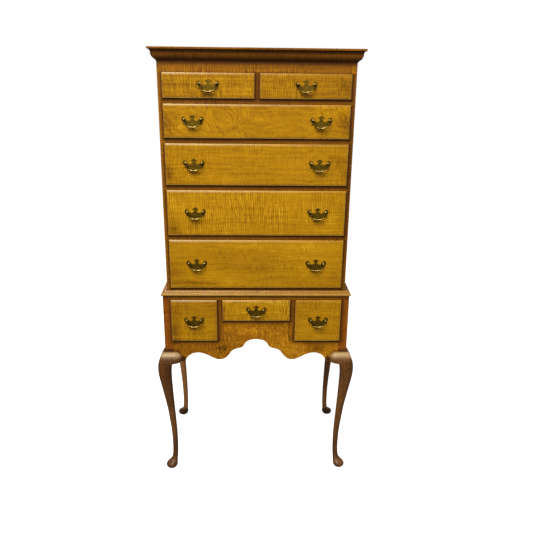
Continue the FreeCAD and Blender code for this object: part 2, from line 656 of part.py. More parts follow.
def drawer_box(opening):
    """Two sides, the back and the bottom panel."""
    left = opening.left + END_CLEARANCE
    right = opening.right - END_CLEARANCE
    sides = [drawer_side(opening, left, left + DRAWER_SIDE_THICK),
             drawer_side(opening, right, right - DRAWER_SIDE_THICK)]
    reach = DRAWER_SIDE_THICK - PANEL_GROOVE
    panel = block((left + reach, right - reach), (opening.body_back - PANEL_GROOVE, opening.end),
                  (opening.panel_top - PANEL_THICK, opening.panel_top))
    back = block((left, right), (opening.end - DRAWER_BACK_THICK, opening.end),
                 (opening.panel_top, opening.side_top - DRAWER_BACK_DROP))
    sides = [seated(side, [panel]) for side in sides]
    return sides + [seated(back, sides), panel]


# ---- pulls ----

def pull_plate():
    """Batwing plate, with the point midway between its posts as origin."""
    edges = []
    for mirror in (1, -1):
        start = PLATE_TOP
        for via, end in PLATE_ARCS:
            points = [Vector(mirror * x, 0, z) for x, z in (start, via, end)]
            edges.append(Part.Arc(*points).toShape())
            start = end
    plate = prism(Part.__sortEdges__(edges), Vector(0, -PLATE_THICK, 0))
    return plate


def pull_post(depth):
    """Post with its collar, neck, flat-sided head and threaded shaft, on the Y axis.

    depth is how far the shaft reaches behind the plate's back.
    """
    forward = Vector(0, -1, 0)
    back = Vector(0, 1, 0)
    plate_face = Vector(0, -PLATE_THICK, 0)
    collar = Part.makeCylinder(POST_COLLAR_RADIUS, POST_COLLAR_THICK, plate_face, forward)
    neck = Part.makeCylinder(POST_NECK_RADIUS, PIVOT_OUT - PLATE_THICK, plate_face, forward)
    head = Part.makeSphere(POST_HEAD_RADIUS, Vector(0, -PIVOT_OUT, 0))
    flat = POST_HEAD_HALF_WIDTH
    head = head.common(block((-flat, flat), (-2 * PIVOT_OUT, 0), (-PIVOT_OUT, PIVOT_OUT)))
    shaft = Part.makeCylinder(POST_SHAFT_RADIUS, depth + PLATE_THICK, plate_face, back)
    bore = Part.makeCylinder(PINTLE_RADIUS + PINTLE_CLEARANCE, 4 * POST_HEAD_RADIUS,
                             Vector(-2 * POST_HEAD_RADIUS, -PIVOT_OUT, 0), Vector(1, 0, 0))
    return collar.fuse(neck).fuse(head).fuse(shaft).cut(bore)


def pull_nut(depth):
    """Square nut on the end of a post, against the inside of the drawer front."""
    half = NUT_SIZE / 2
    nut = block((-half, half), (depth - POST_TAIL, depth - POST_TAIL + NUT_THICK), (-half, half))
    return nut.cut(post_hole(0, 0, depth - POST_TAIL, depth, 0))


def post_hole(x, z, start, end, clearance):
    """A round hole for a post's shaft, along Y."""
    return Part.makeCylinder(POST_SHAFT_RADIUS + clearance, end - start, Vector(x, start, z),
                             Vector(0, 1, 0))


def bail_stations():
    """Round sections down the bail's right half, from its middle up the arm to the knuckle's
    top, each as (x, z, degrees its way leans from +X, radius)."""
    arm = PULL_SPREAD - POST_HEAD_HALF_WIDTH - BAIL_SIDE_GAP - KNUCKLE[1][1]
    corner_x = arm - BAIL_CORNER
    bow_z = BAIL_BOW - BAIL_DROP
    corner_z = bow_z - math.sqrt((BAIL_BOW - BAIL_CORNER) ** 2 - corner_x ** 2)
    turn = math.degrees(math.atan2(corner_x, bow_z - corner_z))
    stations = []

    def on_ring(centre_x, centre_z, ring, lean, radius):
        angle = math.radians(lean)
        stations.append((centre_x + ring * math.sin(angle), centre_z - ring * math.cos(angle),
                         lean, radius))

    for lean, radius in GRIP_SWELL:
        on_ring(0, bow_z, BAIL_BOW, lean, radius)
    for share in CORNER_SHARES:
        lean = turn + share * (UPRIGHT - turn)
        on_ring(corner_x, corner_z, BAIL_CORNER, lean, BAIL_RADIUS)
    for share in ARM_SHARES:
        stations.append((arm, corner_z * share, UPRIGHT, BAIL_RADIUS))
    stations.extend((arm, z, UPRIGHT, radius) for z, radius in KNUCKLE)
    return stations


def bail():
    """Bail with its pintles, hanging from the origin, which is the pivot's middle."""
    right = bail_stations()
    left = [(-x, z, -lean, radius) for x, z, lean, radius in right[:0:-1]]
    rings = []
    for x, z, lean, radius in left + right:
        ring = Part.Wire(Part.makeCircle(radius))
        ring.rotate(Vector(0, 0, 0), Vector(0, 0, 1), SEAM_TURN)
        ring.rotate(Vector(0, 0, 0), Vector(0, 1, 0), UPRIGHT - lean)
        ring.translate(Vector(x, 0, z))
        rings.append(ring)
    rod = Part.makeLoft(rings, True, True)
    arm = right[-1][0]
    pintle_end = PULL_SPREAD + POST_HEAD_HALF_WIDTH
    for way in (-1, 1):
        rod = rod.fuse(Part.makeCylinder(PINTLE_RADIUS, pintle_end - arm, Vector(way * arm, 0, 0),
                                         Vector(way, 0, 0)))
    return rod


def moved(shape, x, y, z):
    """A copy of the shape, shifted."""
    copy = shape.copy()
    copy.translate(Vector(x, y, z))
    return copy


def drawer_nodes(opening):
    """Every node of one drawer."""
    name = opening.name
    box = drawer_box(opening)
    front = seated(drawer_front(opening), box)
    depth = opening.body_back - opening.field + POST_TAIL
    plate = pull_plate()
    post = pull_post(depth)
    nut = pull_nut(depth)
    hanging = bail()
    hardware = []
    nodes = {}
    for side, x, z in opening.pulls:
        for post_x in (x - PULL_SPREAD, x + PULL_SPREAD):
            hole = post_hole(post_x, z, opening.field, opening.body_back, POST_HOLE_CLEARANCE)
            front = front.cut(hole)
            hardware.append(moved(post, post_x, opening.field, z))
            hardware.append(moved(nut, post_x, opening.field, z))
        holes = [post_hole(post_x, 0, -PLATE_THICK, 0, 0) for post_x in (-PULL_SPREAD, PULL_SPREAD)]
        hardware.append(moved(seated(plate, holes), x, opening.field, z))
        nodes[name + "_bail" + side] = [moved(hanging, x, opening.field - PIVOT_OUT, z)]
    nodes[name + "_front"] = [front]
    nodes[name + "_box"] = box
    nodes[name + "_hardware"] = hardware
    return nodes


def case_nodes():
    """Every node of the two cases."""
    apron = front_apron()
    right_side, left_side = both_sides(lower_side())
    back = lower_back()
    rail, dividers = lower_front_frame()
    front_leg = front_right_leg([apron, right_side, rail])
    rear_leg = front_and_back(front_right_leg([right_side, front_and_back(back)[1]]))[1]
    nodes = {}
    legs = []
    for depth_name, leg in (("front", front_leg), ("rear", rear_leg)):
        for side_name, one in zip(("right", "left"), both_sides(leg)):
            legs.append(one)
            nodes["leg_%s_%s" % (depth_name, side_name)] = [one]
    nodes["knee_blocks"] = knee_blocks(legs)
    nodes["front_apron"] = [seated(apron, dividers)]
    nodes["lower_sides"] = [right_side, left_side]
    nodes["lower_back_board"] = [back]
    nodes["lower_rail_and_dividers"] = [rail] + dividers
    nodes["lower_drawer_runners"] = lower_runners()
    nodes["waist_moulding"] = waist_moulding()
    nodes["cornice_moulding"] = cornice()

    divider, guide = small_divider()
    rails = [seated(one, [divider]) for one in upper_rails()]
    runners = upper_runners()
    top = upper_board(UPPER_TOP - BOARD_THICK, UPPER_FRONT)
    bottom = upper_board(LOWER_TOP, UPPER_FRONT + FRIEZE_THICK)
    back_boards = upper_back_boards()
    side = block((UPPER_INNER, UPPER_HALF), (UPPER_FRONT, CASE_BACK), (LOWER_TOP, UPPER_TOP))
    sides = [seated(one, rails + runners + [top, bottom] + back_boards) for one in both_sides(side)]
    nodes["upper_side_right"] = [sides[0]]
    nodes["upper_side_left"] = [sides[1]]
    nodes["upper_top_board"] = [top]
    nodes["upper_bottom_board"] = [bottom]
    nodes["upper_back_boards"] = back_boards
    nodes["upper_drawer_blades"] = rails
    nodes["small_drawer_divider"] = [divider, guide]
    nodes["upper_drawer_runners"] = runners
    return nodes


def main():
    os.makedirs("parts", exist_ok=True)
    nodes = case_nodes()
    for opening in openings():
        nodes.update(drawer_nodes(opening))
    for name, solids in nodes.items():
        shape = solids[0] if len(solids) == 1 else Part.makeCompound(solids)
        shape.exportStep("parts/%s.step" % name)


main()
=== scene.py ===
"""Highboy in curly maple with an amber finish, pine inside and antique brass pulls.

Everything is in metres, in the frame of the construction model: X to the viewer's right,
Y to the back, Z up, with the origin on the floor under the middle of the case.
"""

import bmesh
import bpy
import cmath
import json
import math
from mathutils import Matrix, Vector


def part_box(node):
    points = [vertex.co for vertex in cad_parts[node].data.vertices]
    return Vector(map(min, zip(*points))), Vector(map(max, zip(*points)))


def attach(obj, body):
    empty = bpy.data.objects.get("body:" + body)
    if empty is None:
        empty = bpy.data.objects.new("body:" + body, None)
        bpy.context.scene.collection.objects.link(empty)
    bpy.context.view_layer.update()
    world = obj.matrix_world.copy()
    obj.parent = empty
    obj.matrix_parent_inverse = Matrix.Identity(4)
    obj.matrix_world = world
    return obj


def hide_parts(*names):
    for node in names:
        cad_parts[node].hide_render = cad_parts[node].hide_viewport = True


MM = 0.001

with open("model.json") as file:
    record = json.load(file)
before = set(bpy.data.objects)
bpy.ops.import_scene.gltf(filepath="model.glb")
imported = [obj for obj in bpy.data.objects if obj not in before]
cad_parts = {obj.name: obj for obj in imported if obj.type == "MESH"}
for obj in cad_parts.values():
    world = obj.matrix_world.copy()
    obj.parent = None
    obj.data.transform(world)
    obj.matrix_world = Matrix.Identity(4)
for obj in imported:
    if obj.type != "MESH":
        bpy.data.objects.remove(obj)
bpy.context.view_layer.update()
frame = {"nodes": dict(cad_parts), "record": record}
nodes = frame["nodes"]
body_of_node = {node: body for body, members in frame["record"]["behaviour"]["bodies"].items()
                for node in members}

# ---- sizes of the pieces that are made here, in millimetres ----
POST_SIDE = 36.0
KNEE_TOP = 607.0
# Cabriole stations from the knee down: height, reach out of the case to the side and to the
# front, reach into it, squareness, and squareness of the corner beside the knee block.
LEG_STATIONS = (
    (607.0, 0.0, 0.0, -35.4, 9.0, 16.0), (600.0, 5.2, 0.1, -35.4, 7.0, 16.0),
    (595.0, 9.0, 0.3, -35.4, 6.2, 16.0), (593.2, 10.4, 1.8, -35.4, 6.0, 16.0),
    (590.6, 12.2, 8.0, -35.4, 5.6, 16.0), (586.0, 15.0, 14.6, -35.4, 5.2, 16.0),
    (579.0, 18.8, 20.2, -35.4, 4.8, 16.0), (569.0, 23.4, 25.8, -35.4, 4.4, 14.0),
    (556.0, 28.2, 30.3, -35.4, 4.0, 11.0), (548.0, 30.4, 31.6, -34.8, 3.9, 9.0),
    (543.5, 31.3, 32.1, -31.4, 3.8, 7.0), (539.5, 31.8, 32.4, -29.2, 3.7, 6.0),
    (533.0, 32.4, 32.7, -27.2, 3.6, 4.8), (523.0, 32.8, 32.8, -25.7, 3.4, 3.8),
    (499.0, 32.2, 32.2, -23.6, 3.2, 3.3), (467.0, 28.2, 28.2, -23.5, 3.0, 3.0),
    (390.0, 15.8, 15.8, -25.4, 2.7, 2.7), (320.0, 5.3, 5.3, -28.2, 2.5, 2.5),
    (250.0, -2.2, -2.2, -31.2, 2.3, 2.3), (180.0, -8.2, -8.2, -33.8, 2.2, 2.2),
    (120.0, -10.2, -10.2, -34.1, 2.1, 2.1), (80.0, -9.7, -9.7, -33.5, 2.1, 2.1),
    (60.0, -8.3, -8.3, -32.3, 2.0, 2.0), (46.0, -5.6, -5.6, -31.3, 2.0, 2.0),
    (36.0, -0.5, -0.5, -30.6, 2.0, 2.0), (28.0, 8.8, 8.8, -30.3, 2.0, 2.0),
    (21.0, 17.4, 17.4, -30.4, 2.0, 2.0), (14.0, 21.0, 21.0, -30.0, 2.0, 2.0),
    (8.5, 20.8, 20.8, -29.0, 2.0, 2.0), (4.0, 18.0, 18.0, -26.0, 2.0, 2.0),
    (1.5, 16.0, 16.0, -24.0, 2.0, 2.0), (0.0, 14.6, 14.6, -22.6, 2.0, 2.0),
)
LEDGE = 593.2                  # height of the ledge over the knee
# A knee block's face beside the leg: reach out of the apron, then height. The front ones
# carry on the ledge, and the ones on the sides start as high as the leg's own curve.
FRONT_KNEE_FACE = (
    (0.2, 594.6), (1.8, 593.2), (5.0, 591.8), (8.0, 590.6), (11.6, 588.5), (14.6, 586.0),
    (17.6, 582.8), (20.2, 579.0), (23.2, 574.4), (25.8, 569.0), (28.2, 562.6), (29.8, 556.8),
    (29.6, 552.6), (27.6, 550.2), (24.0, 549.2),
)
SIDE_KNEE_FACE = (
    (0.6, 605.0), (5.2, 600.0), (9.0, 595.0), (12.2, 590.6), (15.0, 586.0), (18.8, 579.0),
    (23.4, 569.0), (26.4, 561.5), (27.8, 556.4), (27.4, 552.4), (25.6, 550.0), (22.4, 549.2),
)
# Along the apron from the leg: share of that reach, drop of the top, rise of the bottom.
KNEE_ENDS = (
    (-16.0, 0.97, 0.0, -3.6), (-9.0, 0.993, 0.0, -3.6), (-4.0, 1.0, 0.0, -3.6),
    (0.0, 1.0, 0.0, -3.2), (3.0, 0.998, 0.1, -2.6), (8.0, 0.98, 0.5, -1.8),
    (14.0, 0.94, 1.9, -1.2), (20.0, 0.86, 4.4, -0.6), (25.0, 0.75, 8.0, 0.0),
    (29.5, 0.61, 12.8, 1.2), (33.0, 0.46, 18.4, 3.0), (35.6, 0.3, 24.6, 6.0),
    (37.2, 0.12, 31.0, 11.0),
)
LEDGE_HIGHLIGHT_END = 566.0         # height where its painted highlight has faded out
LEDGE_HIGHLIGHT_OUT = 13.0          # reach out of the case where that patch is palest
REAR_FOOT_DARK = 54.0          # a rear leg darkens from this height down
REAR_FOOT_FADE = 22.0          # and is darkest this much lower
LEG_SIDES = 48
LEG_STEPS = 5                  # rings from one station to the next

BACK_PLANKS = 4                # one above the other behind the upper case

LIP_DEPTH = 8.0                # from the field's face to the lip's back
LIP_ROUND = 5.5
FIELD_INSET = 7.5
FIELD_RAISE = 1.0
BODY_INSETS = (5.0, 5.0, 0.0, 5.5)   # left, right, bottom, top: lip to the body behind it

# Mouldings as (point on an arc or None for a straight, its end): reach out of the upper case,
# then height over the moulding's foot.
CORNICE_PROFILE = (
    (None, (0.0, 49.0)), (None, (28.0, 49.0)), (None, (28.8, 48.4)), (None, (29.0, 47.4)),
    (None, (29.0, 42.5)), (None, (28.6, 41.7)), (None, (26.5, 41.3)),
    ((20.9, 37.4), (17.8, 30.0)), (None, (18.6, 30.0)), ((15.6, 18.0), (5.0, 6.5)),
    (None, (2.6, 4.4)), (None, (1.1, 2.2)), (None, (0.4, 0.0)),
)
WAIST_PROFILE = (
    (None, (23.4, 0.0)), (None, (24.0, 0.8)), (None, (24.0, 4.4)), ((22.8, 8.6), (18.5, 11.0)),
    (None, (14.6, 11.2)),
    ((12.4, 11.6), (10.6, 13.6)), ((7.9, 17.5), (2.5, 19.0)), (None, (0.5, 19.0)),
)
# Painted shade in a moulding's hollows and a painted highlight, with some rubbing, on its nose:
# height over its foot up to which a value holds, then the value.
CORNICE_SHADE = ((7, 0.92), (14, 0.72), (29, 0.62), (31, 0.85), (42, 0.75), (50, 0.25))
WAIST_SHADE = ((10.9, 0.0), (12.2, 0.4), (13.7, 0.15), (16.5, 0.0), (18.5, 0.3), (20, 0.85))
WAIST_HIGHLIGHT = ((3.5, 0.02), (10.8, 0.12), (20, 0.02))

PIVOT_OUT = 14.0               # from the drawer's face to the bail's pivot
POST_SPREAD = 31.75            # from the pull's middle to each post
PLATE_THICK = 1.6
PLATE_TOP = (0.0, 17.5)
# Right half of the plate from the finial down: a point on each arc, then its end.
PLATE_ARCS = (
    ((6.5, 13.8), (13.2, 8.2)), ((9.6, 8.0), (5.4, 5.0)), ((7.6, -1.6), (16.0, -5.4)),
    ((23.0, -2.2), (27.0, 6.0)), ((34.5, 10.6), (42.6, 3.0)), ((42.4, -3.6), (38.0, -8.6)),
    ((36.2, -13.8), (38.0, -20.4)), ((32.5, -18.6), (27.0, -18.6)),
    ((23.6, -25.4), (16.6, -28.6)), ((8.0, -29.6), (0.0, -33.6)),
)
ARC_STEPS = 7
# A turned post: distance out of the drawer's face, then radius.
POST_PROFILE = (
    (1.6, 5.2), (2.2, 5.4), (2.9, 5.0), (3.3, 3.4), (4.2, 2.6), (6.0, 2.3), (8.4, 2.4),
    (9.9, 3.0), (11.0, 3.8), (12.4, 4.3), (14.0, 4.4), (15.6, 4.1), (17.0, 3.2), (18.0, 1.8),
    (18.4, 0.5),
)
POST_SIDES = 20
POST_FLAT = 2.6                # the head is flat on both sides
POST_SHADE_DROP = 4.5               # painted shadow on the plate lies this far under a post's middle
POST_SHADE_HALF = (9.0, 7.0)        # its half width and half height

BAIL_BOW = 46.0
BAIL_DROP = 29.5
BAIL_CORNER = 9.0
BAIL_ARM = 26.35
BAIL_ROD = 2.1
PINTLE = 1.6
PINTLE_END = 34.35
# Degrees from the middle of the bow, then the radius there.
GRIP_SWELL = (
    (0.0, 4.2), (1.6, 4.0), (3.3, 3.2), (5.0, 3.1), (7.5, 3.3), (10.7, 3.5), (14.0, 3.4),
    (16.5, 3.1), (18.2, 3.2), (19.8, 3.8), (21.5, 3.6), (23.1, 2.5), (25.6, 2.1),
)
GRIP_HALF = 22.0               # the part that fingers polish, painted bright, partly as a painted highlight
GRIP_INSIDE = 6.0              # which reaches no further than this inside the bow's line
BEAD_HALF = 3.4                # and the bead in its middle
KNUCKLE = ((-1.9, 2.2), (0.0, 2.4), (1.6, 2.1), (2.4, 1.3))
BAIL_SIDES = 16


# ---- node helpers ----

def linear(hex_colour):
    """An sRGB hex colour as linear RGBA."""
    values = [int(hex_colour[i:i + 2], 16) / 255 for i in (1, 3, 5)]
    return tuple(v / 12.92 if v <= 0.04045 else ((v + 0.055) / 1.055) ** 2.4
                 for v in values) + (1.0,)


def add(tree, kind, settings=None, links=None):
    """Adds a node. A setting is one of its properties, or else an input's value.

    A link from a node comes from its first output, and a "ramp" is (place, colour) stops.
    """
    node = tree.nodes.new(kind)
    values = {}
    for name, value in (settings or {}).items():
        if name == "ramp":
            elements = node.color_ramp.elements
            while len(elements) < len(value):
                elements.new(0.5)
            for element, (place, colour) in zip(elements, value):
                element.position = place
                element.color = linear(colour)
        elif isinstance(name, str) and hasattr(node, name):
            setattr(node, name, value)
        else:
            values[name] = value
    for name, value in values.items():
        node.inputs[name].default_value = value
    for name, source in (links or {}).items():
        tree.links.new(source.outputs[0] if hasattr(source, "outputs") else source,
                       node.inputs[name])
    return node


def new_material(name):
    """An empty material with a surface shader, as (material, tree, shader)."""
    material = bpy.data.materials.new(name)
    material.use_nodes = True
    tree = material.node_tree
    tree.nodes.clear()
    shader = add(tree, "ShaderNodeBsdfPrincipled")
    add(tree, "ShaderNodeOutputMaterial", links={"Surface": shader})
    return material, tree, shader


def wire_surface(tree, shader, colour, grain, smooth, rough, relief, strength, depth):
    """Gives a shader its colour, a roughness that follows the grain, and relief in millimetres."""
    tree.links.new(colour, shader.inputs["Base Color"])
    roughness = add(tree, "ShaderNodeMapRange", {1: 0.3, 2: 0.7, 3: smooth, 4: rough},
                    {"Value": grain})
    tree.links.new(roughness.outputs[0], shader.inputs["Roughness"])
    bump = add(tree, "ShaderNodeBump", {"Strength": strength, "Distance": depth * MM},
               {"Height": relief})
    tree.links.new(bump.outputs["Normal"], shader.inputs["Normal"])


def coat(tree, colour, attribute, coat_colour, share=None):
    """Lays a second colour over a first as far as the piece's attribute says."""
    amount = add(tree, "ShaderNodeAttribute", {"attribute_name": attribute}).outputs["Fac"]
    if share:
        amount = add(tree, "ShaderNodeMath", {"operation": "MULTIPLY"}, {0: amount, 1: share})
    return add(tree, "ShaderNodeMix", {"data_type": "RGBA", 7: linear(coat_colour)},
               {0: amount, 6: colour}).outputs[2]


# ---- wood ----

# Turns that lay object coordinates (along the grain, across it, into the board).
GRAIN_WAYS = {
    "across": Matrix(((1, 0, 0), (0, 0, 1), (0, -1, 0))).to_euler(),
    "up": Matrix(((0, 0, 1), (1, 0, 0), (0, 1, 0))).to_euler(),
    "back": Matrix(((0, 1, 0), (0, 0, 1), (1, 0, 0))).to_euler(),
}


def new_wood(name, way, seed):
    """A wood's material, tree and shader, object coordinates, and those turned to its grain."""
    material, tree, shader = new_material(name)
    shader.inputs["IOR"].default_value = 1.5
    place = add(tree, "ShaderNodeTexCoord").outputs["Object"]
    board = add(tree, "ShaderNodeMapping",
                {"Rotation": GRAIN_WAYS[way], "Location": (seed, seed * 0.7, seed * 2.1)},
                {"Vector": place})
    return material, tree, shader, place, board


def varnished_maple(name, tones, way="across", seed=0.0, curl=0.5, curl_step=12.0, lean=0.0,
                    bend=0.5, evenness=0.3, grain=0.5, weave=0.3, patch=0.35, marks=(),
                    glaze="#3A1B02", rubbing_and_sheen="#A8946A", bright=0.0, gloss=0.33):
    """Curly maple under old amber varnish: fine long grain, crossed by ripples that flash.

    tones run from the darkest to the lightest. curl_step is the distance from one curl to the
    next in millimetres, and lean turns the curls, in degrees. marks are soft spots as
    (x, z, half width, half height, darkening) in millimetres, pale where darkening is negative.
    """
    material, tree, shader, place, board = new_wood(name, way, seed)

    # Growth wanders: every line bends over about 120 mm.
    wander = add(tree, "ShaderNodeTexNoise", {"Scale": 8.0, "Detail": 2.0}, {"Vector": board})
    sway = add(tree, "ShaderNodeVectorMath", {"operation": "SUBTRACT", 1: (0.5, 0.5, 0.5)},
               {0: wander.outputs["Color"]})
    bent = add(tree, "ShaderNodeVectorMath", {"operation": "MULTIPLY_ADD",
                                              1: (0.06 * bend, 0.06 * bend, 0.06 * bend)},
               {0: sway, 2: board})

    # Curl: even ripples mixed with broken ones, both across the grain, strong in places.
    leaned = add(tree, "ShaderNodeMapping", {"Rotation": (0, 0, math.radians(lean))},
                 {"Vector": bent})
    step = curl_step * MM
    ripple = add(tree, "ShaderNodeTexWave",
                 {"wave_type": "BANDS", "bands_direction": "X", "Scale": math.pi / 10 / step,
                  "Distortion": 4.0, "Detail": 3.0, "Detail Scale": 0.6},
                 {"Vector": leaned}).outputs["Fac"]
    squeezed = add(tree, "ShaderNodeMapping", {"Scale": (1.7 / step, 0.2 / step, 0.2 / step)},
                   {"Vector": leaned})
    broken = add(tree, "ShaderNodeTexNoise", {"Scale": 1.0, "Detail": 2.5, "Roughness": 0.6},
                 {"Vector": squeezed})
    broken = add(tree, "ShaderNodeMapRange", {1: 0.3, 2: 0.7}, {"Value": broken})
    curls = add(tree, "ShaderNodeMix", {"data_type": "FLOAT", 0: evenness},
                {2: broken, 3: ripple})
    strong = add(tree, "ShaderNodeTexNoise", {"Scale": 6.0, "Detail": 2.0}, {"Vector": board})
    strong = add(tree, "ShaderNodeMapRange", {1: 0.36, 2: 0.64, 3: 0.2, 4: 1.0},
                 {"Value": strong})
    curls = add(tree, "ShaderNodeMath", {"operation": "SUBTRACT", 1: 0.5}, {0: curls})
    curls = add(tree, "ShaderNodeMath", {"operation": "MULTIPLY"}, {0: curls, 1: strong})

    # Growth lines about 9 mm apart, fibres about 2 mm apart, flecks 6 mm long, broad clouds.
    layers = []
    for scale, detail, strength in (((3.0, 110.0, 110.0), 3.0, grain),
                                    ((24.0, 460.0, 460.0), 3.0, grain * 0.6),
                                    ((160.0, 90.0, 90.0), 3.0, weave),
                                    ((3.4, 5.0, 5.0), 2.0, patch)):
        stretched = add(tree, "ShaderNodeMapping", {"Scale": scale}, {"Vector": bent})
        noise = add(tree, "ShaderNodeTexNoise", {"Scale": 1.0, "Detail": detail},
                    {"Vector": stretched})
        layers.append((noise, strength))
    fibre = layers[1][0]
    tone = add(tree, "ShaderNodeMath",
               {"operation": "MULTIPLY_ADD", 1: curl,
                2: 0.5 + bright - sum(strength for _, strength in layers) / 2}, {0: curls})
    for noise, strength in layers:
        tone = add(tree, "ShaderNodeMath", {"operation": "MULTIPLY_ADD", 1: strength},
                   {0: noise, 2: tone})
    for x, z, half_width, half_height, darkening in marks:
        spot = add(tree, "ShaderNodeMapping",
                   {"Location": (-x / half_width, 0.0, -z / half_height),
                    "Scale": (1000 / half_width, 0.0, 1000 / half_height)}, {"Vector": place})
        reach = add(tree, "ShaderNodeVectorMath", {"operation": "LENGTH"}, {0: spot})
        reach = add(tree, "ShaderNodeMath", {"operation": "MULTIPLY_ADD", 1: 0.7},
                    {0: fibre, 2: reach.outputs["Value"]})
        soft = add(tree, "ShaderNodeMapRange",
                   {"interpolation_type": "SMOOTHSTEP", 1: 0.25, 2: 1.35, 3: -darkening, 4: 0.0},
                   {"Value": reach})
        tone = add(tree, "ShaderNodeMath", {"operation": "ADD"}, {0: tone, 1: soft})
    places = [index / (len(tones) - 1) for index in range(len(tones))]
    colour = add(tree, "ShaderNodeValToRGB", {"ramp": list(zip(places, tones))}, {"Fac": tone})

    # Painted shade, with some old stain, lies dark in the corners, the hollows and below the lips,
    # as far as one attribute says, and a painted highlight, with some rubbing, lies pale on the
    # edges that face the light, as far as another says.
    colour = coat(tree, coat(tree, colour, "glaze", glaze), "worn", rubbing_and_sheen)
    relief = add(tree, "ShaderNodeMath", {"operation": "MULTIPLY_ADD", 1: 0.6},
                 {0: curls, 2: fibre})
    wire_surface(tree, shader, colour, fibre, gloss - 0.05, gloss + 0.08, relief, 0.2, 0.25)
    for key, value in (("Specular IOR Level", 0.15), ("Coat Weight", 0.05),
                       ("Coat Roughness", 0.15)):
        shader.inputs[key].default_value = value
    return material


def planed_pine(name, way, seed, planks=None):
    """White pine, planed and left bare: dull and pale, with plain growth lines and no curl.

    planks is the foot and the height of the first of a stack of planks, in metres, each of
    them cut from a different board.
    """
    material, tree, shader, place, board = new_wood(name, way, seed)
    if planks:
        foot, width = planks
        height = add(tree, "ShaderNodeSeparateXYZ", links={"Vector": place}).outputs["Z"]
        height = add(tree, "ShaderNodeMath", {"operation": "SUBTRACT", 1: foot}, {0: height})
        number = add(tree, "ShaderNodeMath", {"operation": "MULTIPLY", 1: 1 / width}, {0: height})
        number = add(tree, "ShaderNodeMath", {"operation": "FLOOR"}, {0: number})
        board = add(tree, "ShaderNodeVectorMath",
                    {"operation": "MULTIPLY_ADD", 1: (1.3, 0.71, 0.37)}, {0: number, 2: board})
        joint = add(tree, "ShaderNodeMath", {"operation": "PINGPONG", 1: width / 2}, {0: height})
        joint = add(tree, "ShaderNodeMapRange", {1: 1.0 * MM, 2: 4.0 * MM, 3: 0.9, 4: 0.0},
                    {"Value": joint})
    # Growth lines about 11 mm apart that run into long flames, and fibres about 2 mm apart.
    flames = add(tree, "ShaderNodeMapping", {"Scale": (0.12, 1.0, 1.0)}, {"Vector": board})
    lines = add(tree, "ShaderNodeTexWave",
                {"wave_type": "RINGS", "rings_direction": "X", "wave_profile": "SAW",
                 "Scale": math.pi / 10 / 0.011, "Distortion": 9.0, "Detail": 3.0,
                 "Detail Scale": 0.3}, {"Vector": flames}).outputs["Fac"]
    strands = add(tree, "ShaderNodeMapping", {"Scale": (20.0, 480.0, 480.0)}, {"Vector": board})
    fibre = add(tree, "ShaderNodeTexNoise", {"Scale": 1.0, "Detail": 3.0}, {"Vector": strands})
    cloud = add(tree, "ShaderNodeTexNoise", {"Scale": 5.0, "Detail": 2.0}, {"Vector": board})
    tone = add(tree, "ShaderNodeMath", {"operation": "MULTIPLY_ADD", 1: 0.26},
               {0: lines, 2: fibre})
    tone = add(tree, "ShaderNodeMath", {"operation": "MULTIPLY_ADD", 1: 0.7}, {0: cloud, 2: tone})
    tone = add(tree, "ShaderNodeMapRange", {1: 0.5, 2: 1.35}, {"Value": tone})
    if planks:
        # Dust lies dark in the joints between the planks.
        tone = add(tree, "ShaderNodeMath", {"operation": "ADD"}, {0: tone, 1: joint})
    colour = add(tree, "ShaderNodeValToRGB",
                 {"ramp": ((0.0, "#A98455"), (0.4, "#98713F"), (0.75, "#84602F"),
                           (1.0, "#664518"))}, {"Fac": tone})
    wire_surface(tree, shader, colour.outputs["Color"], fibre, 0.55, 0.72, fibre, 0.3, 0.3)
    shader.inputs["Specular IOR Level"].default_value = 0.3
    return material


# Tones under the varnish, from the dark flank of a curl to its bright one.
GOLDEN = ("#583903", "#764D02", "#8C6104", "#9D7007", "#B68819")
AMBER = ("#3A1F02", "#5C3603", "#774904", "#8F5C07", "#A87414")
RUSSET = ("#331802", "#552B03", "#713C05", "#874B09", "#9E6114")
WALNUT = ("#231106", "#3A200A", "#4D2D11", "#623D19", "#7B5128")
HONEY = ("#50330A", "#714A0E", "#875D10", "#9B7019", "#B48A32")

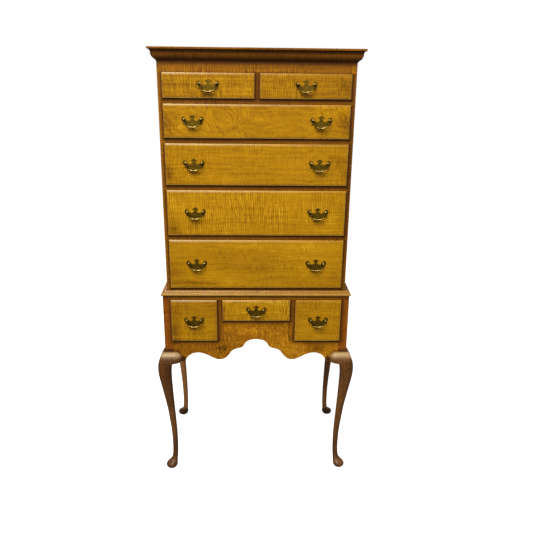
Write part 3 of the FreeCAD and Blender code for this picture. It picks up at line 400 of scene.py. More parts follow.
# How each front's figure runs, with its own marks.
FRONT_FIGURE = {
    "small_drawer_left": dict(
        seed=3.1, curl=1.1, curl_step=8.5, lean=-9.0, evenness=0.3, bend=0.3, bright=-0.08,
        marks=((-90, 1700, 60, 60, 0.15),)),
    "small_drawer_right": dict(
        seed=7.4, curl=0.9, curl_step=8.0, lean=-2.0, evenness=0.35, bend=0.3, bright=-0.1,
        marks=((335, 1700, 60, 60, 0.25),)),
    "long_drawer_1": dict(
        seed=11.9, curl=0.6, curl_step=9.0, lean=-24.0, evenness=0.15, bend=1.6, patch=0.5,
        weave=0.25, marks=((345, 1560, 60, 70, 0.3), (-345, 1560, 70, 70, 0.38))),
    "long_drawer_2": dict(
        seed=15.3, curl=0.65, curl_step=7.5, lean=2.0, evenness=0.35, bright=0.02, weave=0.4,
        marks=((-345, 1370, 26, 55, 0.4), (335, 1400, 45, 60, 0.15))),
    "long_drawer_3": dict(
        seed=21.7, curl=1.0, curl_step=9.0, lean=-3.0, evenness=0.4, bend=0.4, weave=0.4,
        bright=0.1, marks=((-335, 1135, 34, 26, 0.4), (340, 1190, 30, 80, 0.15),
                           (-350, 1170, 60, 90, 0.15))),
    "long_drawer_4": dict(
        seed=28.2, curl=0.5, curl_step=7.5, evenness=0.3, patch=0.8, weave=0.35, bright=0.1,
        marks=((-56, 897, 9, 6, 0.6), (-250, 905, 150, 26, 0.34), (330, 940, 50, 70, 0.25),
               (-345, 960, 80, 90, 0.2))),
    "lower_drawer_left": dict(
        seed=33.8, curl=0.7, curl_step=9.0, lean=4.0, patch=0.9,
        marks=((-345, 690, 26, 90, 0.3),)),
    "lower_drawer_centre": dict(
        seed=38.5, curl=1.3, curl_step=9.0, evenness=0.22, bright=0.12,
        marks=((-139, 795, 12, 34, 0.6), (-139, 760, 8, 30, 0.4))),
    "lower_drawer_right": dict(
        seed=44.1, curl=0.7, curl_step=9.0, lean=-5.0, patch=0.8, bright=0.04),
}


def bails_of(drawer):
    """The nodes of a drawer's bails: two on a long drawer, one on the others."""
    ends = ("_bail_left", "_bail_right") if drawer.startswith("long") else ("_bail",)
    return [drawer + end for end in ends]


def pull_shadow_marks(drawer):
    """A painted shadow lies in the wood under each pull's bail: a dark spot, with a faint halo of
    gathered polish.
    """
    marks = []
    for low, high in map(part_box, bails_of(drawer)):
        x, z = (low.x + high.x) / 2 / MM, low.z / MM
        marks += [(x, z - 3.5, 21, 7, 1.0), (x, z - 5.0, 32, 14, 0.16)]
    return tuple(marks)


front_maple = {}
for drawer, figure in FRONT_FIGURE.items():
    settings = {"weave": 0.5, "grain": 0.7, **figure}
    settings["marks"] = figure.get("marks", ()) + pull_shadow_marks(drawer)
    front_maple[drawer] = varnished_maple("curly_maple_" + drawer, GOLDEN, **settings)
rail_maple = varnished_maple(
    "curly_maple_rails", AMBER, seed=50.0, curl=0.9, curl_step=9.0, bright=-0.08,
    marks=((-60, 1778, 500, 34, -0.14), (0, 1112, 400, 20, -0.14)))
side_maple = varnished_maple("curly_maple_sides", AMBER, way="up", seed=53.0, curl=0.7,
                             marks=((365, 1400, 16, 480, 0.3),))
stand_maple = varnished_maple("curly_maple_stand", AMBER, seed=57.0, curl=0.8,
                              marks=((0, 846, 420, 12, -0.3),))
stand_side_maple = varnished_maple("curly_maple_stand_sides", RUSSET, "back", 61.0, curl=0.8)
post_maple = varnished_maple("curly_maple_posts", RUSSET, "up", 63.0, curl=0.5, bright=0.03)
# The three marks mirrored on both sides are painted shadow that the knee blocks cast on the apron.
apron_maple = varnished_maple(
    "curly_maple_apron", AMBER, seed=65.0, curl=0.9, curl_step=11.0, patch=0.9, bend=1.8,
    weave=1.0, evenness=0.15, bright=0.1,
    marks=tuple((side * x, z, *mark) for x, z, *mark in (
        (317, 558, 17, 22, 1.3), (346, 598, 17, 6, 0.7), (333, 589, 10, 9, 0.6))
                for side in (-1, 1))
    + ((-150, 610, 34, 26, 0.35), (258, 610, 90, 40, 0.42), (0, 700, 130, 60, -0.22)))
# The legs' first mark is painted shade on the outer flank of the right knee.
leg_maple = varnished_maple(
    "stained_maple_legs", WALNUT, way="up", seed=69.0, curl=0.35, patch=1.0, evenness=0.1,
    bright=0.04, rubbing_and_sheen="#AC9264", gloss=0.46,
    marks=((410, 535, 34, 50, 0.3), (400, 190, 60, 150, -0.3), (-400, 190, 60, 150, -0.12)))
# The rear legs' maple is painted lighter than the front legs', as painted light where the lamps
# barely reach, and its pale mark is a painted pool of light on the right rear leg.
rear_leg_maple_painted_light = varnished_maple(
    "stained_maple_rear_legs_painted_light", WALNUT, way="up", seed=71.0, curl=0.35, patch=0.6, evenness=0.1,
    bright=0.52, glaze="#1A1106", marks=((360, 420, 90, 260, -0.3),))
cornice_maple = varnished_maple("curly_maple_cornice", AMBER, seed=73.0, curl=0.7,
                                curl_step=8.0, bright=-0.1)
cornice_side_maple = varnished_maple("curly_maple_cornice_returns", AMBER, "back", 75.0,
                                     curl=0.9, curl_step=9.0)
waist_maple = varnished_maple("curly_maple_waist", HONEY, seed=77.0, curl=0.5)
waist_side_maple = varnished_maple("curly_maple_waist_returns", HONEY, "back", 79.0, curl=0.5)
pine_across = planed_pine("planed_pine_across", "across", 81.0)
pine_back = planed_pine("planed_pine_back", "back", 85.0)
back_foot, back_top = (corner.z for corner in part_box("upper_back_boards"))
pine_planks = planed_pine("planed_pine_planks", "across", 89.0,
                          (back_foot, (back_top - back_foot) / BACK_PLANKS))


# ---- brass ----

def antique_brass(name):
    """Cast brass, brown with age, polished bright where fingers touch it, with painted highlights
    and painted shade.
    """
    material, tree, shader = new_material(name)
    place = add(tree, "ShaderNodeTexCoord").outputs["Object"]
    # Tarnish gathers in blotches of about 4 mm with a finer bloom inside them.
    blotch = add(tree, "ShaderNodeTexNoise", {"Scale": 240.0, "Detail": 4.0, "Roughness": 0.6},
                 {"Vector": place})
    tarnish = add(tree, "ShaderNodeValToRGB",
                  {"ramp": ((0.3, "#4C3810"), (0.5, "#755A18"), (0.72, "#9A7C28"))},
                  {"Fac": blotch})
    bared = add(tree, "ShaderNodeMapRange", {1: 0.3, 2: 0.6, 3: 0.6, 4: 1.0}, {"Value": blotch})
    colour = coat(tree, tarnish, "rubbed", "#C0AC70", bared)
    # Painted shade lies dark on the undersides, as far as an attribute says.
    colour = coat(tree, colour, "grime", "#1E1608")
    wire_surface(tree, shader, colour, blotch, 0.34, 0.55, blotch, 0.25, 0.15)
    shader.inputs["Metallic"].default_value = 1.0
    return material


brass = antique_brass("antique_brass")


# ---- mesh helpers ----

# Painted shadow, with some old stain, lies dark on the case round each of these, longest below and
# to the right of them.
shade_casters = [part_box(drawer + "_front") for drawer in FRONT_FIGURE]
shade_casters += [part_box("cornice_moulding"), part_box("waist_moulding")]


def linked(name, data):
    """A new object in the scene."""
    made = bpy.data.objects.new(name, data)
    bpy.context.scene.collection.objects.link(made)
    return made


def finished(node, mesh, suffix, materials, slot, sharp=35.0, flat=False, **attributes):
    """Makes the piece that dresses a node's solids, and puts it in their body in their place.

    Edges over sharp degrees stay crisp. Where flat is set, faces square to the case are shaded
    flat, so that their eased edges don't tint them. Each attribute is a function of a vertex's
    place.
    """
    for name, value_at in attributes.items():
        set_attribute(mesh, name, value_at)
    for material in materials:
        mesh.materials.append(material)
    mesh.shade_smooth()
    mesh.set_sharp_from_angle(angle=math.radians(sharp))
    for face in mesh.polygons:
        if flat and max(abs(value) for value in face.normal) > 0.9999:
            face.use_smooth = False
    piece = linked(node + suffix, mesh)
    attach(piece, body_of_node[node])
    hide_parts(node)


def meshed(name, work, mesh=None, outward=False):
    """A new mesh, or the given one, from a finished bmesh, turned outward if it isn't yet."""
    if not outward:
        bmesh.ops.recalc_face_normals(work, faces=work.faces)
    mesh = mesh or bpy.data.meshes.new(name)
    work.to_mesh(mesh)
    work.free()
    mesh.name = name
    return mesh


def cut(work, place, normal):
    """Adds edges where a plane crosses the faces."""
    parts = list(work.verts) + list(work.edges) + list(work.faces)
    bmesh.ops.bisect_plane(work, geom=parts, plane_co=place, plane_no=normal, dist=0.02 * MM)


def clamped(*values):
    """The least of the values, kept between 0 and 1."""
    return max(0.0, min(1.0, *values))


def set_attribute(mesh, name, value_at):
    """A number for each vertex, from its place."""
    layer = mesh.attributes.new(name, "FLOAT", "POINT")
    layer.data.foreach_set("value", [value_at(v.co) for v in mesh.vertices])


def rings_joined(work, rings):
    """Rings of vertices joined by faces, with the first and last ring closed."""
    made = [[work.verts.new(point) for point in ring] for ring in rings]
    for near, far in zip(made, made[1:]):
        for index in range(len(near)):
            after = (index + 1) % len(near)
            work.faces.new((near[index], near[after], far[after], far[index]))
    work.faces.new(made[0])
    work.faces.new(made[-1])
    return made


HALF_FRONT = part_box("long_drawer_1_front")[1].x
STAND_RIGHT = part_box("lower_sides")[1].x
STAND_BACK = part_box("lower_back_board")[1].y
LIP_STEPS = (1.0, 4.0, 9.0, 18.0)    # millimetres out from a drawer's lip
LIP_SHADOW = (0.95, 0.8, 0.35, 0.0)
LIP_LEE = 1.6                        # the painted shadow reaches further below a lip, and to its right
LIP_SHELTER = 4.0                    # and hardly above it, where the light falls


def cut_for_shadow(work):
    """Adds edges beside the drawers' lips and the mouldings, so the painted shadow there can fade.
    """
    for low, high in shade_casters:
        for step in (-2.0,) + LIP_STEPS:
            reach = step * MM
            cut(work, (low.x - reach, 0, 0), (1, 0, 0))
            cut(work, (high.x + reach * LIP_LEE, 0, 0), (1, 0, 0))
            cut(work, (0, 0, low.z - reach * LIP_LEE), (0, 0, 1))
            cut(work, (0, 0, high.z + reach / LIP_SHELTER), (0, 0, 1))


def lip_shadow_at(point):
    """How dark the case is painted at a point, from how near it is to a drawer or a moulding:
    painted shadow, with some old stain.
    """
    near = min(math.hypot(max(low.x - point.x, 0, (point.x - high.x) / LIP_LEE),
                          max((low.z - point.z) / LIP_LEE, 0, (point.z - high.z) * LIP_SHELTER))
               for low, high in shade_casters) / MM
    for start, end, dark, light in zip(LIP_STEPS, LIP_STEPS[1:], LIP_SHADOW, LIP_SHADOW[1:]):
        if near < end:
            share = max(0.0, (near - start) / (end - start))
            return dark + (light - dark) * share
    return 0.0


def dressed(node, material, slot, eased, lip_shaded):
    """A clean copy of a solid with its flat faces whole and its edges eased."""
    work = bmesh.new()
    work.from_mesh(nodes[node].data)
    bmesh.ops.remove_doubles(work, verts=work.verts, dist=0.002 * MM)
    bmesh.ops.dissolve_limit(work, angle_limit=math.radians(0.4), verts=work.verts,
                             edges=work.edges)
    bmesh.ops.recalc_face_normals(work, faces=work.faces)
    edges = [edge for edge in work.edges
             if len(edge.link_faces) == 2 and edge.calc_face_angle() > math.radians(40)]
    bmesh.ops.bevel(work, geom=edges, offset=eased * MM, segments=2, affect="EDGES",
                    clamp_overlap=True)
    if lip_shaded:
        cut_for_shadow(work)
    finished(node, meshed(node + "_wood", work, outward=True), "_finished", (material,), slot,
             sharp=15.0, flat=True, **({"glaze": lip_shadow_at} if lip_shaded else {}))


# ---- mouldings ----

def arc_points(start, through, end, steps):
    """Points after the start on the arc through three points, worked as complex numbers."""
    start, through, end = (complex(*point) for point in (start, through, end))
    slant = (end - start) / (through - start)
    centre = start + (through - start) * (slant - abs(slant) ** 2) / (2j * slant.imag)
    arm = start - centre
    middle, last = (cmath.phase((point - centre) / arm) % math.tau for point in (through, end))
    if middle > last:
        last -= math.tau
    points = [centre + arm * cmath.exp(1j * last * step / steps) for step in range(1, steps + 1)]
    return [(point.real, point.imag) for point in points]


def profile_points(steps):
    """Points along a profile's straights and arcs, from the case's face at its foot."""
    points = [(0.0, 0.0)]
    for through, end in steps:
        points += arc_points(points[-1], through, end, ARC_STEPS) if through else [end]
    return points


def step_value(steps, lift):
    """The value of the first step whose top is above a height over the moulding's foot."""
    return next(value for top, value in steps if lift < top)


def moulding(node, steps, front_wood, side_wood, glaze, worn):
    """Three mitred runs round the front and sides of the upper case."""
    low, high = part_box(node)
    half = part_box("upper_side_right")[1].x
    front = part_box("upper_side_right")[0].y
    work = bmesh.new()
    rings = []
    for out, lift in profile_points(steps):
        reach = out * MM
        z = low.z + lift * MM
        rings.append([work.verts.new(place) for place in (
            (-half - reach, high.y, z), (-half - reach, front - reach, z),
            (half + reach, front - reach, z), (half + reach, high.y, z))])
    for ring, after in zip(rings, rings[1:] + rings[:1]):
        for run in range(3):
            face = work.faces.new((ring[run], ring[run + 1], after[run + 1], after[run]))
            face.material_index = 0 if run == 1 else 1
    for end in (0, 3):
        work.faces.new([ring[end] for ring in rings]).material_index = 1
    finished(node, meshed(node + "_wood", work), "_finished", (front_wood, side_wood),
             "case_maple", sharp=32.0,
             glaze=lambda point: step_value(glaze, (point.z - low.z) / MM),
             worn=lambda point: step_value(worn, (point.z - low.z) / MM))


# ---- drawer fronts ----

def front_rings(low, high):
    """Rectangles from the middle of the field, over the thumb-nail lip, to the body's back.

    Each is (left, right, bottom, top, y, painted shade with some stain, painted highlight with some
    rubbing).
    """
    face = low.y
    # The step round the field and the lip's outer sides are painted dark as painted shade, and the
    # lip's round pale as a painted highlight.
    field = [(40.0, 0.0, 0.0, 0.0), (22.0, 0.0, 0.02, 0.0), (13.0, 0.0, 0.05, 0.0),
             (FIELD_INSET + 0.6, 0.0, 0.08, 0.0), (FIELD_INSET + 0.1, 0.3, 0.15, 0.15),
             (FIELD_INSET, FIELD_RAISE, 0.25, 0.3), (FIELD_INSET - 0.8, FIELD_RAISE, 0.05, 0.7)]
    lip = []
    for share, rubbing_and_sheen in zip((0.0, 0.2, 0.4, 0.6, 0.8, 1.0), (0.9, 1.0, 1.0, 0.8, 0.4, 0.1)):
        angle = share * math.pi / 2
        lip.append((LIP_ROUND * (1 - math.sin(angle)),
                    FIELD_RAISE + LIP_ROUND * (1 - math.cos(angle)),
                    0.12 + 0.58 * share ** 4, rubbing_and_sheen))
    edge = [(0.0, LIP_DEPTH, 0.95, 0.0)]
    rings = []
    for inset, depth, glaze, rubbing_and_sheen in field + lip + edge:
        rings.append((low.x + inset * MM, high.x - inset * MM, low.z + inset * MM,
                      high.z - inset * MM, face + depth * MM, glaze, rubbing_and_sheen))
    left, right, bottom, top = (inset * MM for inset in BODY_INSETS)
    for y in (face + LIP_DEPTH * MM, high.y):
        rings.append((low.x + left, high.x - right, low.z + bottom, high.z - top, y, 0.5, 0.0))
    return rings


def lip_highlight(side, x):
    """How pale the lip is painted: a painted highlight, with some rubbing, on its top most, above
    all towards the left.
    """
    left = clamped(0.2 - x / HALF_FRONT)
    return (0.1, 0.05, 0.05 + 0.42 * left ** 2 * (3 - 2 * left), 0.05)[side]


def drawer_front(drawer):
    """A lipped front with a thumb-nail edge round its raised field."""
    node = drawer + "_front"
    rings = front_rings(*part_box(node))
    work = bmesh.new()
    shade_layer = work.loops.layers.float.new("glaze")
    highlight_layer = work.loops.layers.float.new("worn")
    made = rings_joined(work, [[(left, y, bottom), (right, y, bottom), (right, y, top),
                                (left, y, top)] for left, right, bottom, top, y, *_ in rings])
    for near, far, *values in zip(made, made[1:], rings, rings[1:]):
        for side in range(4):
            after = (side + 1) % 4
            corners = ((near[side], values[0]), (near[after], values[0]),
                       (far[after], values[1]), (far[side], values[1]))
            face = next(f for f in near[side].link_faces
                        if all(vertex in f.verts for vertex, _ in corners))
            for loop in face.loops:
                value = dict(corners)[loop.vert]
                loop[shade_layer] = value[-2]
                loop[highlight_layer] = value[-1] * lip_highlight(side, loop.vert.co.x)
    finished(node, meshed(node + "_wood", work), "_finished", (front_maple[drawer],),
             "drawer_maple", sharp=30.0)


# ---- legs ----

def smooth_stations(stations, steps):
    """Points on a smooth curve through the stations, which it meets."""
    rows = [Vector(station) for station in stations]
    rows = [2 * rows[0] - rows[1]] + rows + [2 * rows[-1] - rows[-2]]
    curve = []
    for before, start, end, after in zip(rows, rows[1:], rows[2:], rows[3:]):
        for step in range(steps):
            t = step / steps
            curve.append(0.5 * ((2 * start) + (end - before) * t
                                + (2 * before - 5 * start + 4 * end - after) * t ** 2
                                + (3 * start - before - 3 * end + after) * t ** 3))
    return curve + [rows[-2]]


def leg_ring(corner_x, corner_y, side, end, station):
    """A rounded square round the leg; side and end point out of the case at its corner."""
    height, side_out, front_out, inward, squareness, corner_squareness = station
    if end > 0:
        front_out, corner_squareness = side_out, squareness
    ring = []
    for index in range(LEG_SIDES):
        turn = 2 * math.pi * (index + 0.5) / LEG_SIDES
        cosine, sine = math.cos(turn), math.sin(turn)
        power = 2 / (corner_squareness if cosine < 0 < sine else squareness)
        across = math.copysign(abs(cosine) ** power, cosine)
        along = math.copysign(abs(sine) ** power, sine)
        x = (side_out + inward) / 2 + (side_out - inward) / 2 * across
        y = (front_out + inward) / 2 + (front_out - inward) / 2 * along
        ring.append((corner_x + side * x * MM, corner_y + end * y * MM, height * MM))
    return ring


def leg(node, side, end):
    """Square post, cabriole and pad foot in one piece."""
    corner_x, corner_y = side * STAND_RIGHT, end * STAND_BACK
    top, foot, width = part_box(node)[1].z, KNEE_TOP * MM, POST_SIDE * MM
    work = bmesh.new()
    middle = (corner_x - side * width / 2, corner_y - end * width / 2, (top + foot) / 2)
    bmesh.ops.create_cube(work, size=1.0, matrix=Matrix.LocRotScale(
        Vector(middle), None, Vector((width, width, top - foot))))
    bmesh.ops.bevel(work, geom=list(work.edges), offset=1.0 * MM, segments=2, affect="EDGES")
    cut_for_shadow(work)
    for face in work.faces:
        face.material_index = 1
    stations = smooth_stations(LEG_STATIONS, LEG_STEPS)
    rings_joined(work, [leg_ring(corner_x, corner_y, side, end, s) for s in stations])

    def leg_shade_at(point):
        height = point.z / MM
        if end > 0:
            return 0.85 * clamped((REAR_FOOT_DARK - height) / REAR_FOOT_FADE)
        if height > KNEE_TOP + 1:
            return lip_shadow_at(point)
        # A painted shadow line lies in the crease where the ledge leaves the post.
        flush = clamped(1 - abs(point.y - corner_y) / MM / 2.5)
        return 0.95 * flush * clamped((height - LEDGE + 1) / 2, (KNEE_TOP + 1 - height) / 8)

    def leg_highlight_at(point):
        out = (point.y - corner_y) * end / MM
        return ledge_highlight(out, point.z / MM) if out > 1.0 and end < 0 else 0.0

    shank = leg_maple if end < 0 else rear_leg_maple_painted_light
    finished(node, meshed(node + "_wood", work), "_finished", (shank, post_maple), "leg_maple",
             flat=True, glaze=leg_shade_at, worn=leg_highlight_at)


def ledge_highlight(out, height):
    """How pale the ledge over the knee is painted: a painted highlight, with some rubbing, most
    where it first turns down.
    """
    tall = clamped((LEDGE + 1 - height) / 3, (height - LEDGE_HIGHLIGHT_END) / 16)
    return 0.54 * tall * clamped(1.25 - abs(out - LEDGE_HIGHLIGHT_OUT) / 14)


def knee_block(work, face, place):
    """One knee block; place turns (along the apron, out, height) in metres into a point."""
    top_edge, bottom_edge = face[0][1], face[-1][1]
    rings = []
    for along, share, drop, rise in KNEE_ENDS:
        shrink = (top_edge - drop - bottom_edge - rise) / (top_edge - bottom_edge)
        ring = [(out * share, bottom_edge + rise + (z - bottom_edge) * shrink) for out, z in face]
        ring = [(-2.0, ring[0][1])] + ring + [(-2.0, ring[-1][1])]
        rings.append([place((POST_SIDE + along) * MM, out * MM, z * MM) for out, z in ring])
    rings_joined(work, rings)


def knee_blocks():
    """Rounded blocks that carry the knees' curve on to the apron and the sides."""
    work = bmesh.new()
    for side in (-1, 1):
        knee_block(work, FRONT_KNEE_FACE, lambda along, out, z: (
            side * (STAND_RIGHT - along), -STAND_BACK - out, z))
        for end in (-1, 1):
            knee_block(work, SIDE_KNEE_FACE, lambda along, out, z: (
                side * (STAND_RIGHT + out), end * (STAND_BACK - along), z))
    finished("knee_blocks", meshed("knee_blocks_wood", work), "_finished", (leg_maple,),
             "leg_maple", sharp=50.0,
             worn=lambda point: ledge_highlight((-STAND_BACK - point.y) / MM, point.z / MM))


# ---- pulls ----

def plate_outline():
    """The bat-wing plate's outline, all round."""
    right = [PLATE_TOP]
    for through, end in PLATE_ARCS:
        right += arc_points(right[-1], through, end, ARC_STEPS)
    return right + [(-x, z) for x, z in right[-2:0:-1]]


def head_highlight(point):
    """How bright a post's head is painted: a painted highlight on its top."""
    return 0.45 if point.y < -10 * MM and point.z > 0.5 * MM else 0.0


def post_shade(point):
    """Painted shade on the posts' undersides, and painted shadow on the plate just below them."""
    across, height = abs(point.x) / MM - POST_SPREAD, point.z / MM
    if point.y < -3 * MM:
        return 0.9 if height < 0.9 else 0.0
    away = math.hypot(across / POST_SHADE_HALF[0], (height + POST_SHADE_DROP) / POST_SHADE_HALF[1])
    return 0.9 * clamped(1.5 - 1.5 * away)


def pull_pattern():
    """Plate and two posts, with the drawer's face at y = 0 and the pivot at height 0."""
    work = bmesh.new()
    face = work.faces.new([work.verts.new((x * MM, 0.0, z * MM)) for x, z in plate_outline()])
    raised = bmesh.ops.extrude_face_region(work, geom=[face])["geom"]
    front = [item for item in raised if isinstance(item, bmesh.types.BMVert)]
    bmesh.ops.translate(work, verts=front, vec=(0, -PLATE_THICK * MM, 0))
    rim = [edge for edge in work.edges if all(v.co.y < -0.5 * PLATE_THICK * MM for v in edge.verts)]
    bmesh.ops.bevel(work, geom=rim, offset=0.6 * MM, segments=2, affect="EDGES")
    # Edges round the posts' feet, so that the painted shadow there can fade.
    for x in (POST_SPREAD, -POST_SPREAD):
        for step in (-7.0, -3.5, 0.0, 3.5, 7.0):
            cut(work, ((x + step) * MM, 0, 0), (1, 0, 0))
    for z in (-12.0, -8.5, -5.0, -1.5, 2.0):
        cut(work, (0, 0, z * MM), (0, 0, 1))
    for x in (-POST_SPREAD, POST_SPREAD):
        rings = []
        for out, radius in POST_PROFILE:
            ring = []
            for index in range(POST_SIDES):
                turn = 2 * math.pi * index / POST_SIDES
                across = radius * math.cos(turn)
                if out > 10.0:
                    across = max(-POST_FLAT, min(POST_FLAT, across))
                ring.append(((x + across) * MM, -out * MM, radius * math.sin(turn) * MM))
            rings.append(ring)
        rings_joined(work, rings)
    bmesh.ops.remove_doubles(work, verts=work.verts, dist=0.001 * MM)
    mesh = meshed("pull_pattern", work)
    set_attribute(mesh, "rubbed", head_highlight)
    set_attribute(mesh, "grime", post_shade)
    return linked("pull_pattern", mesh)


def growing_tree(name, sockets, grow):
    """A tree of named inputs that realizes what grow(tree, inputs) makes and gives it a finish."""
    tree = bpy.data.node_groups.new(name, "GeometryNodeTree")
    for key, kind in (*sockets, ("Finish", "Material")):
        tree.interface.new_socket(key, in_out="INPUT", socket_type="NodeSocket" + kind)
    tree.interface.new_socket("Grown", in_out="OUTPUT", socket_type="NodeSocketGeometry")
    given = add(tree, "NodeGroupInput").outputs
    real = add(tree, "GeometryNodeRealizeInstances", links={"Geometry": grow(tree, given)})
    coated = add(tree, "GeometryNodeSetMaterial",
                 links={"Geometry": real, "Material": given["Finish"]})
    add(tree, "NodeGroupOutput", links={"Grown": coated})
    return tree


def set_pulls(tree, given):
    """Sets one pull on each point of a drawer front."""
    pull = add(tree, "GeometryNodeObjectInfo", {"transform_space": "ORIGINAL"},
               {"Object": given["Pull"]})
    points = add(tree, "GeometryNodeMeshToPoints", links={"Mesh": given["Places"]})
    return add(tree, "GeometryNodeInstanceOnPoints",
               links={"Points": points, "Instance": pull.outputs["Geometry"]})


def sweep_rod(tree, given):
    """Sweeps a round rod along a path, as thick at each point as its attribute says."""
    path = add(tree, "GeometryNodeMeshToCurve", links={"Mesh": given["Path"]})
    thickness = add(tree, "GeometryNodeInputNamedAttribute",
                    {"data_type": "FLOAT", "Name": "thickness"})
    profile = add(tree, "GeometryNodeCurvePrimitiveCircle", {"Radius": 1.0},
                  {"Resolution": given["Sides"]})
    return add(tree, "GeometryNodeCurveToMesh", {"Fill Caps": True},
               {"Curve": path, "Profile Curve": profile, "Scale": thickness})


def grown(name, base, tree, values):
    """The plain mesh that a tree makes from a base mesh."""
    maker = linked(name + "_maker", base)
    modifier = maker.modifiers.new(tree.name, "NODES")
    modifier.node_group = tree
    named = {item.name: item.identifier for item in tree.interface.items_tree
             if item.in_out == "INPUT"}
    for key, value in values.items():
        modifier[named[key]] = value
    bpy.context.view_layer.update()
    mesh = bpy.data.meshes.new_from_object(
        maker.evaluated_get(bpy.context.evaluated_depsgraph_get()))
    maker.modifiers.clear()
    bpy.data.objects.remove(maker)
    work = bmesh.new()
    work.from_mesh(mesh)
    return meshed(name, work, mesh)


def pivot_of(bail_node):
    """The middle of the line on which the bail turns."""
    low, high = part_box(bail_node)
    return Vector(((low.x + high.x) / 2, (low.y + high.y) / 2, high.z - KNUCKLE[-1][0] * MM))


def bail_path():
    """The rod's centre line in the pull's own plane, as (x, z, radius), from knuckle to knuckle."""
    corner_x = BAIL_ARM - BAIL_CORNER
    bow_z = BAIL_BOW - BAIL_DROP
    corner_z = bow_z - math.sqrt((BAIL_BOW - BAIL_CORNER) ** 2 - corner_x ** 2)
    turn = math.atan2(corner_x, bow_z - corner_z)
    right = []
    for angle, radius in smooth_stations(GRIP_SWELL, 3):
        lean = math.radians(angle)
        right.append((BAIL_BOW * math.sin(lean), bow_z - BAIL_BOW * math.cos(lean), radius))
    for step in range(9):
        lean = turn + (math.pi / 2 - turn) * step / 8
        right.append((corner_x + BAIL_CORNER * math.sin(lean),
                      corner_z - BAIL_CORNER * math.cos(lean), BAIL_ROD))
    right += [(BAIL_ARM, corner_z * share, BAIL_ROD) for share in (0.7, 0.4)]
    right += [(BAIL_ARM, z, radius) for z, radius in KNUCKLE]
    return [(-x, z, radius) for x, z, radius in right[:0:-1]] + right


def bail(node, tree):
    """A bail with its pintles, hanging at its pivot."""
    pivot = pivot_of(node)
    points = bail_path()
    edges = [(step, step + 1) for step in range(len(points) - 1)]
    for end in (-1, 1):
        edges.append((len(points), len(points) + 1))
        points += sorted([(end * PINTLE_END, 0.0, PINTLE), (end * BAIL_ARM, 0.0, PINTLE)])
    base = bpy.data.meshes.new(node + "_path")
    base.from_pydata([(pivot.x + x * MM, pivot.y, pivot.z + z * MM) for x, z, _ in points],
                     edges, [])
    layer = base.attributes.new("thickness", "FLOAT", "POINT")
    layer.data.foreach_set("value", [radius * MM for _, _, radius in points])
    mesh = grown(node + "_brass", base, tree, {"Sides": BAIL_SIDES, "Finish": brass})
    bow_z = pivot.z + (BAIL_BOW - BAIL_DROP) * MM

    # The grip is painted bright, partly where fingers polish it and partly as a painted highlight.
    def grip_shine_at(point):
        across = abs(point.x - pivot.x) / MM
        below = math.hypot(across, (point.z - bow_z) / MM)
        if below < BAIL_BOW - GRIP_INSIDE or across > GRIP_HALF:
            return 0.05
        return (0.15 if across < BEAD_HALF else 0.36) * (1 - (across / GRIP_HALF) ** 2)

    # The rod's underside is painted dark, as painted shade.
    def underside_shade_at(point):
        below = math.hypot((point.x - pivot.x) / MM, (point.z - bow_z) / MM) - BAIL_BOW
        return 0.92 * clamped((below + 0.4) / 1.2)

    finished(node, mesh, "_brass", (), "antique_brass", sharp=50.0, rubbed=grip_shine_at,
             grime=underside_shade_at)


# ---- case ----

CASE_PIECES = (
    # node, wood, slot, eased edge in millimetres, painted shadow beside the drawers
    ("upper_side_left", side_maple, "case_maple", 1.0, True),
    ("upper_side_right", side_maple, "case_maple", 1.0, True),
    ("upper_drawer_blades", rail_maple, "case_maple", 0.7, True),
    ("small_drawer_divider", rail_maple, "case_maple", 0.7, True),
    ("upper_top_board", pine_across, "secondary_pine", 0.8, False),
    ("lower_rail_and_dividers", stand_maple, "case_maple", 0.7, True),
    ("lower_sides", stand_side_maple, "case_maple", 1.0, False),
    ("front_apron", apron_maple, "case_maple", 1.0, True),
)
for node, material, slot, eased, lip_shaded in CASE_PIECES:
    dressed(node, material, slot, eased, lip_shaded)

moulding("cornice_moulding", CORNICE_PROFILE, cornice_maple, cornice_side_maple,
         CORNICE_SHADE, ((50, 0.0),))
moulding("waist_moulding", WAIST_PROFILE, waist_maple, waist_side_maple, WAIST_SHADE, WAIST_HIGHLIGHT)

for drawer in FRONT_FIGURE:
    drawer_front(drawer)

for row, end in (("front", -1), ("rear", 1)):
    for hand, side in (("left", -1), ("right", 1)):
        leg(f"leg_{row}_{hand}", side, end)
knee_blocks()

# The pine inside keeps the solids' own shape.
RUNNERS = ["upper_drawer_runners", "lower_drawer_runners"]
for material, inside in ((pine_across, ["upper_bottom_board", "lower_back_board"]),
                         (pine_planks, ["upper_back_boards"]),
                         (pine_back, RUNNERS + [drawer + "_box" for drawer in FRONT_FIGURE])):
    for node in inside:
        nodes[node].data.materials.clear()
        nodes[node].data.materials.append(material)

# ---- pulls and bails ----
pull = pull_pattern()
pulls = growing_tree("pulls_on_front", (("Places", "Geometry"), ("Pull", "Object")), set_pulls)
rods = growing_tree("bent_rod", (("Path", "Geometry"), ("Sides", "Int")), sweep_rod)
for drawer in FRONT_FIGURE:
    hardware = drawer + "_hardware"
    bails = bails_of(drawer)
    places = bpy.data.meshes.new(drawer + "_pull_places")
    places.from_pydata([pivot_of(node) + Vector((0, PIVOT_OUT * MM, 0)) for node in bails], [], [])
    mesh = grown(hardware + "_brass", places, pulls, {"Pull": pull, "Finish": brass})
    finished(hardware, mesh, "_brass", (), "antique_brass", sharp=40.0)
    for node in bails:
        bail(node, rods)
bpy.data.objects.remove(pull)


# ---- floor, light and camera ----

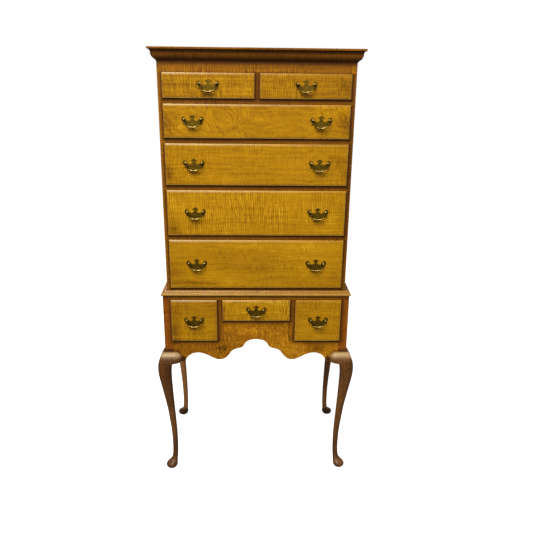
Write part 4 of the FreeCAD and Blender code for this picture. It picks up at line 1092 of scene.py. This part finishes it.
floor_mesh = bpy.data.meshes.new("floor")
floor_mesh.from_pydata([(-30, -30, 0), (30, -30, 0), (30, 30, 0), (-30, 30, 0)], [],
                       [(0, 1, 2, 3)])
floor = linked("floor", floor_mesh)
floor_finish, _, floor_shader = new_material("pale_matt_floor")
for name, value in {"Base Color": linear("#8F8D8A"), "Roughness": 0.9,
                    "Emission Color": linear("#FFFFFF"), "Emission Strength": 0.95}.items():
    floor_shader.inputs[name].default_value = value
floor_mesh.materials.append(floor_finish)
floor.visible_diffuse = False
floor.visible_glossy = False

LIGHTS = (
    # soft square lights: name, place, height that it faces over the middle, width, watts
    ("key_over_left", (-1.3, -3.4, 5.3), 1.0, 3.0, 720),
    ("fill_right", (2.6, -3.4, 2.8), 0.9, 2.0, 22),
    ("back_left", (-2.4, 2.4, 2.6), 0.9, 2.0, 60),
    ("back_right", (2.6, 1.8, 2.2), 0.9, 2.0, 30),
)
for name, place, aim, width, power in LIGHTS:
    lamp = bpy.data.lights.new(name, "AREA")
    lamp.size = width
    lamp.energy = power
    light = linked(name, lamp)
    light.location = place
    way = Vector((0, 0, aim)) - light.location
    light.rotation_euler = way.to_track_quat("-Z", "Y").to_euler()

# The camera sees a white backdrop, and a fifth of its light falls on the chest.
scene = bpy.context.scene
scene.world = bpy.data.worlds.new("studio")
scene.world.use_nodes = True
studio = scene.world.node_tree
studio.nodes.clear()
sky, white = (add(studio, "ShaderNodeBackground", {"Color": linear("#FFFFFF"), "Strength": power})
              for power in (0.2, 1.0))
path = add(studio, "ShaderNodeLightPath")
both = add(studio, "ShaderNodeMixShader",
           links={0: path.outputs["Is Camera Ray"], 1: sky, 2: white})
add(studio, "ShaderNodeOutputWorld", links={"Surface": both})
scene.view_settings.view_transform = "Standard"

CAMERA_PLACE = Vector((-0.0124, -2.3994, 1.6936))
CAMERA_AIM = Vector((0.02371143, 0.95060892, -0.30948416))
CAMERA_ROLL = math.radians(0.607)
CAMERA_LENS = 37.18            # on a sensor 36 mm wide
flat_right = CAMERA_AIM.cross(Vector((0, 0, 1))).normalized()
flat_up = flat_right.cross(CAMERA_AIM)
right = flat_right * math.cos(CAMERA_ROLL) + flat_up * math.sin(CAMERA_ROLL)
up = flat_up * math.cos(CAMERA_ROLL) - flat_right * math.sin(CAMERA_ROLL)
lens = bpy.data.cameras.new("camera")
lens.lens = CAMERA_LENS
lens.sensor_width = 36.0
lens.clip_start = 0.05
lens.clip_end = 200.0
camera = linked("camera", lens)
turn = Matrix((right, up, -CAMERA_AIM)).transposed().to_4x4()
camera.matrix_world = Matrix.Translation(CAMERA_PLACE) @ turn
scene.camera = camera
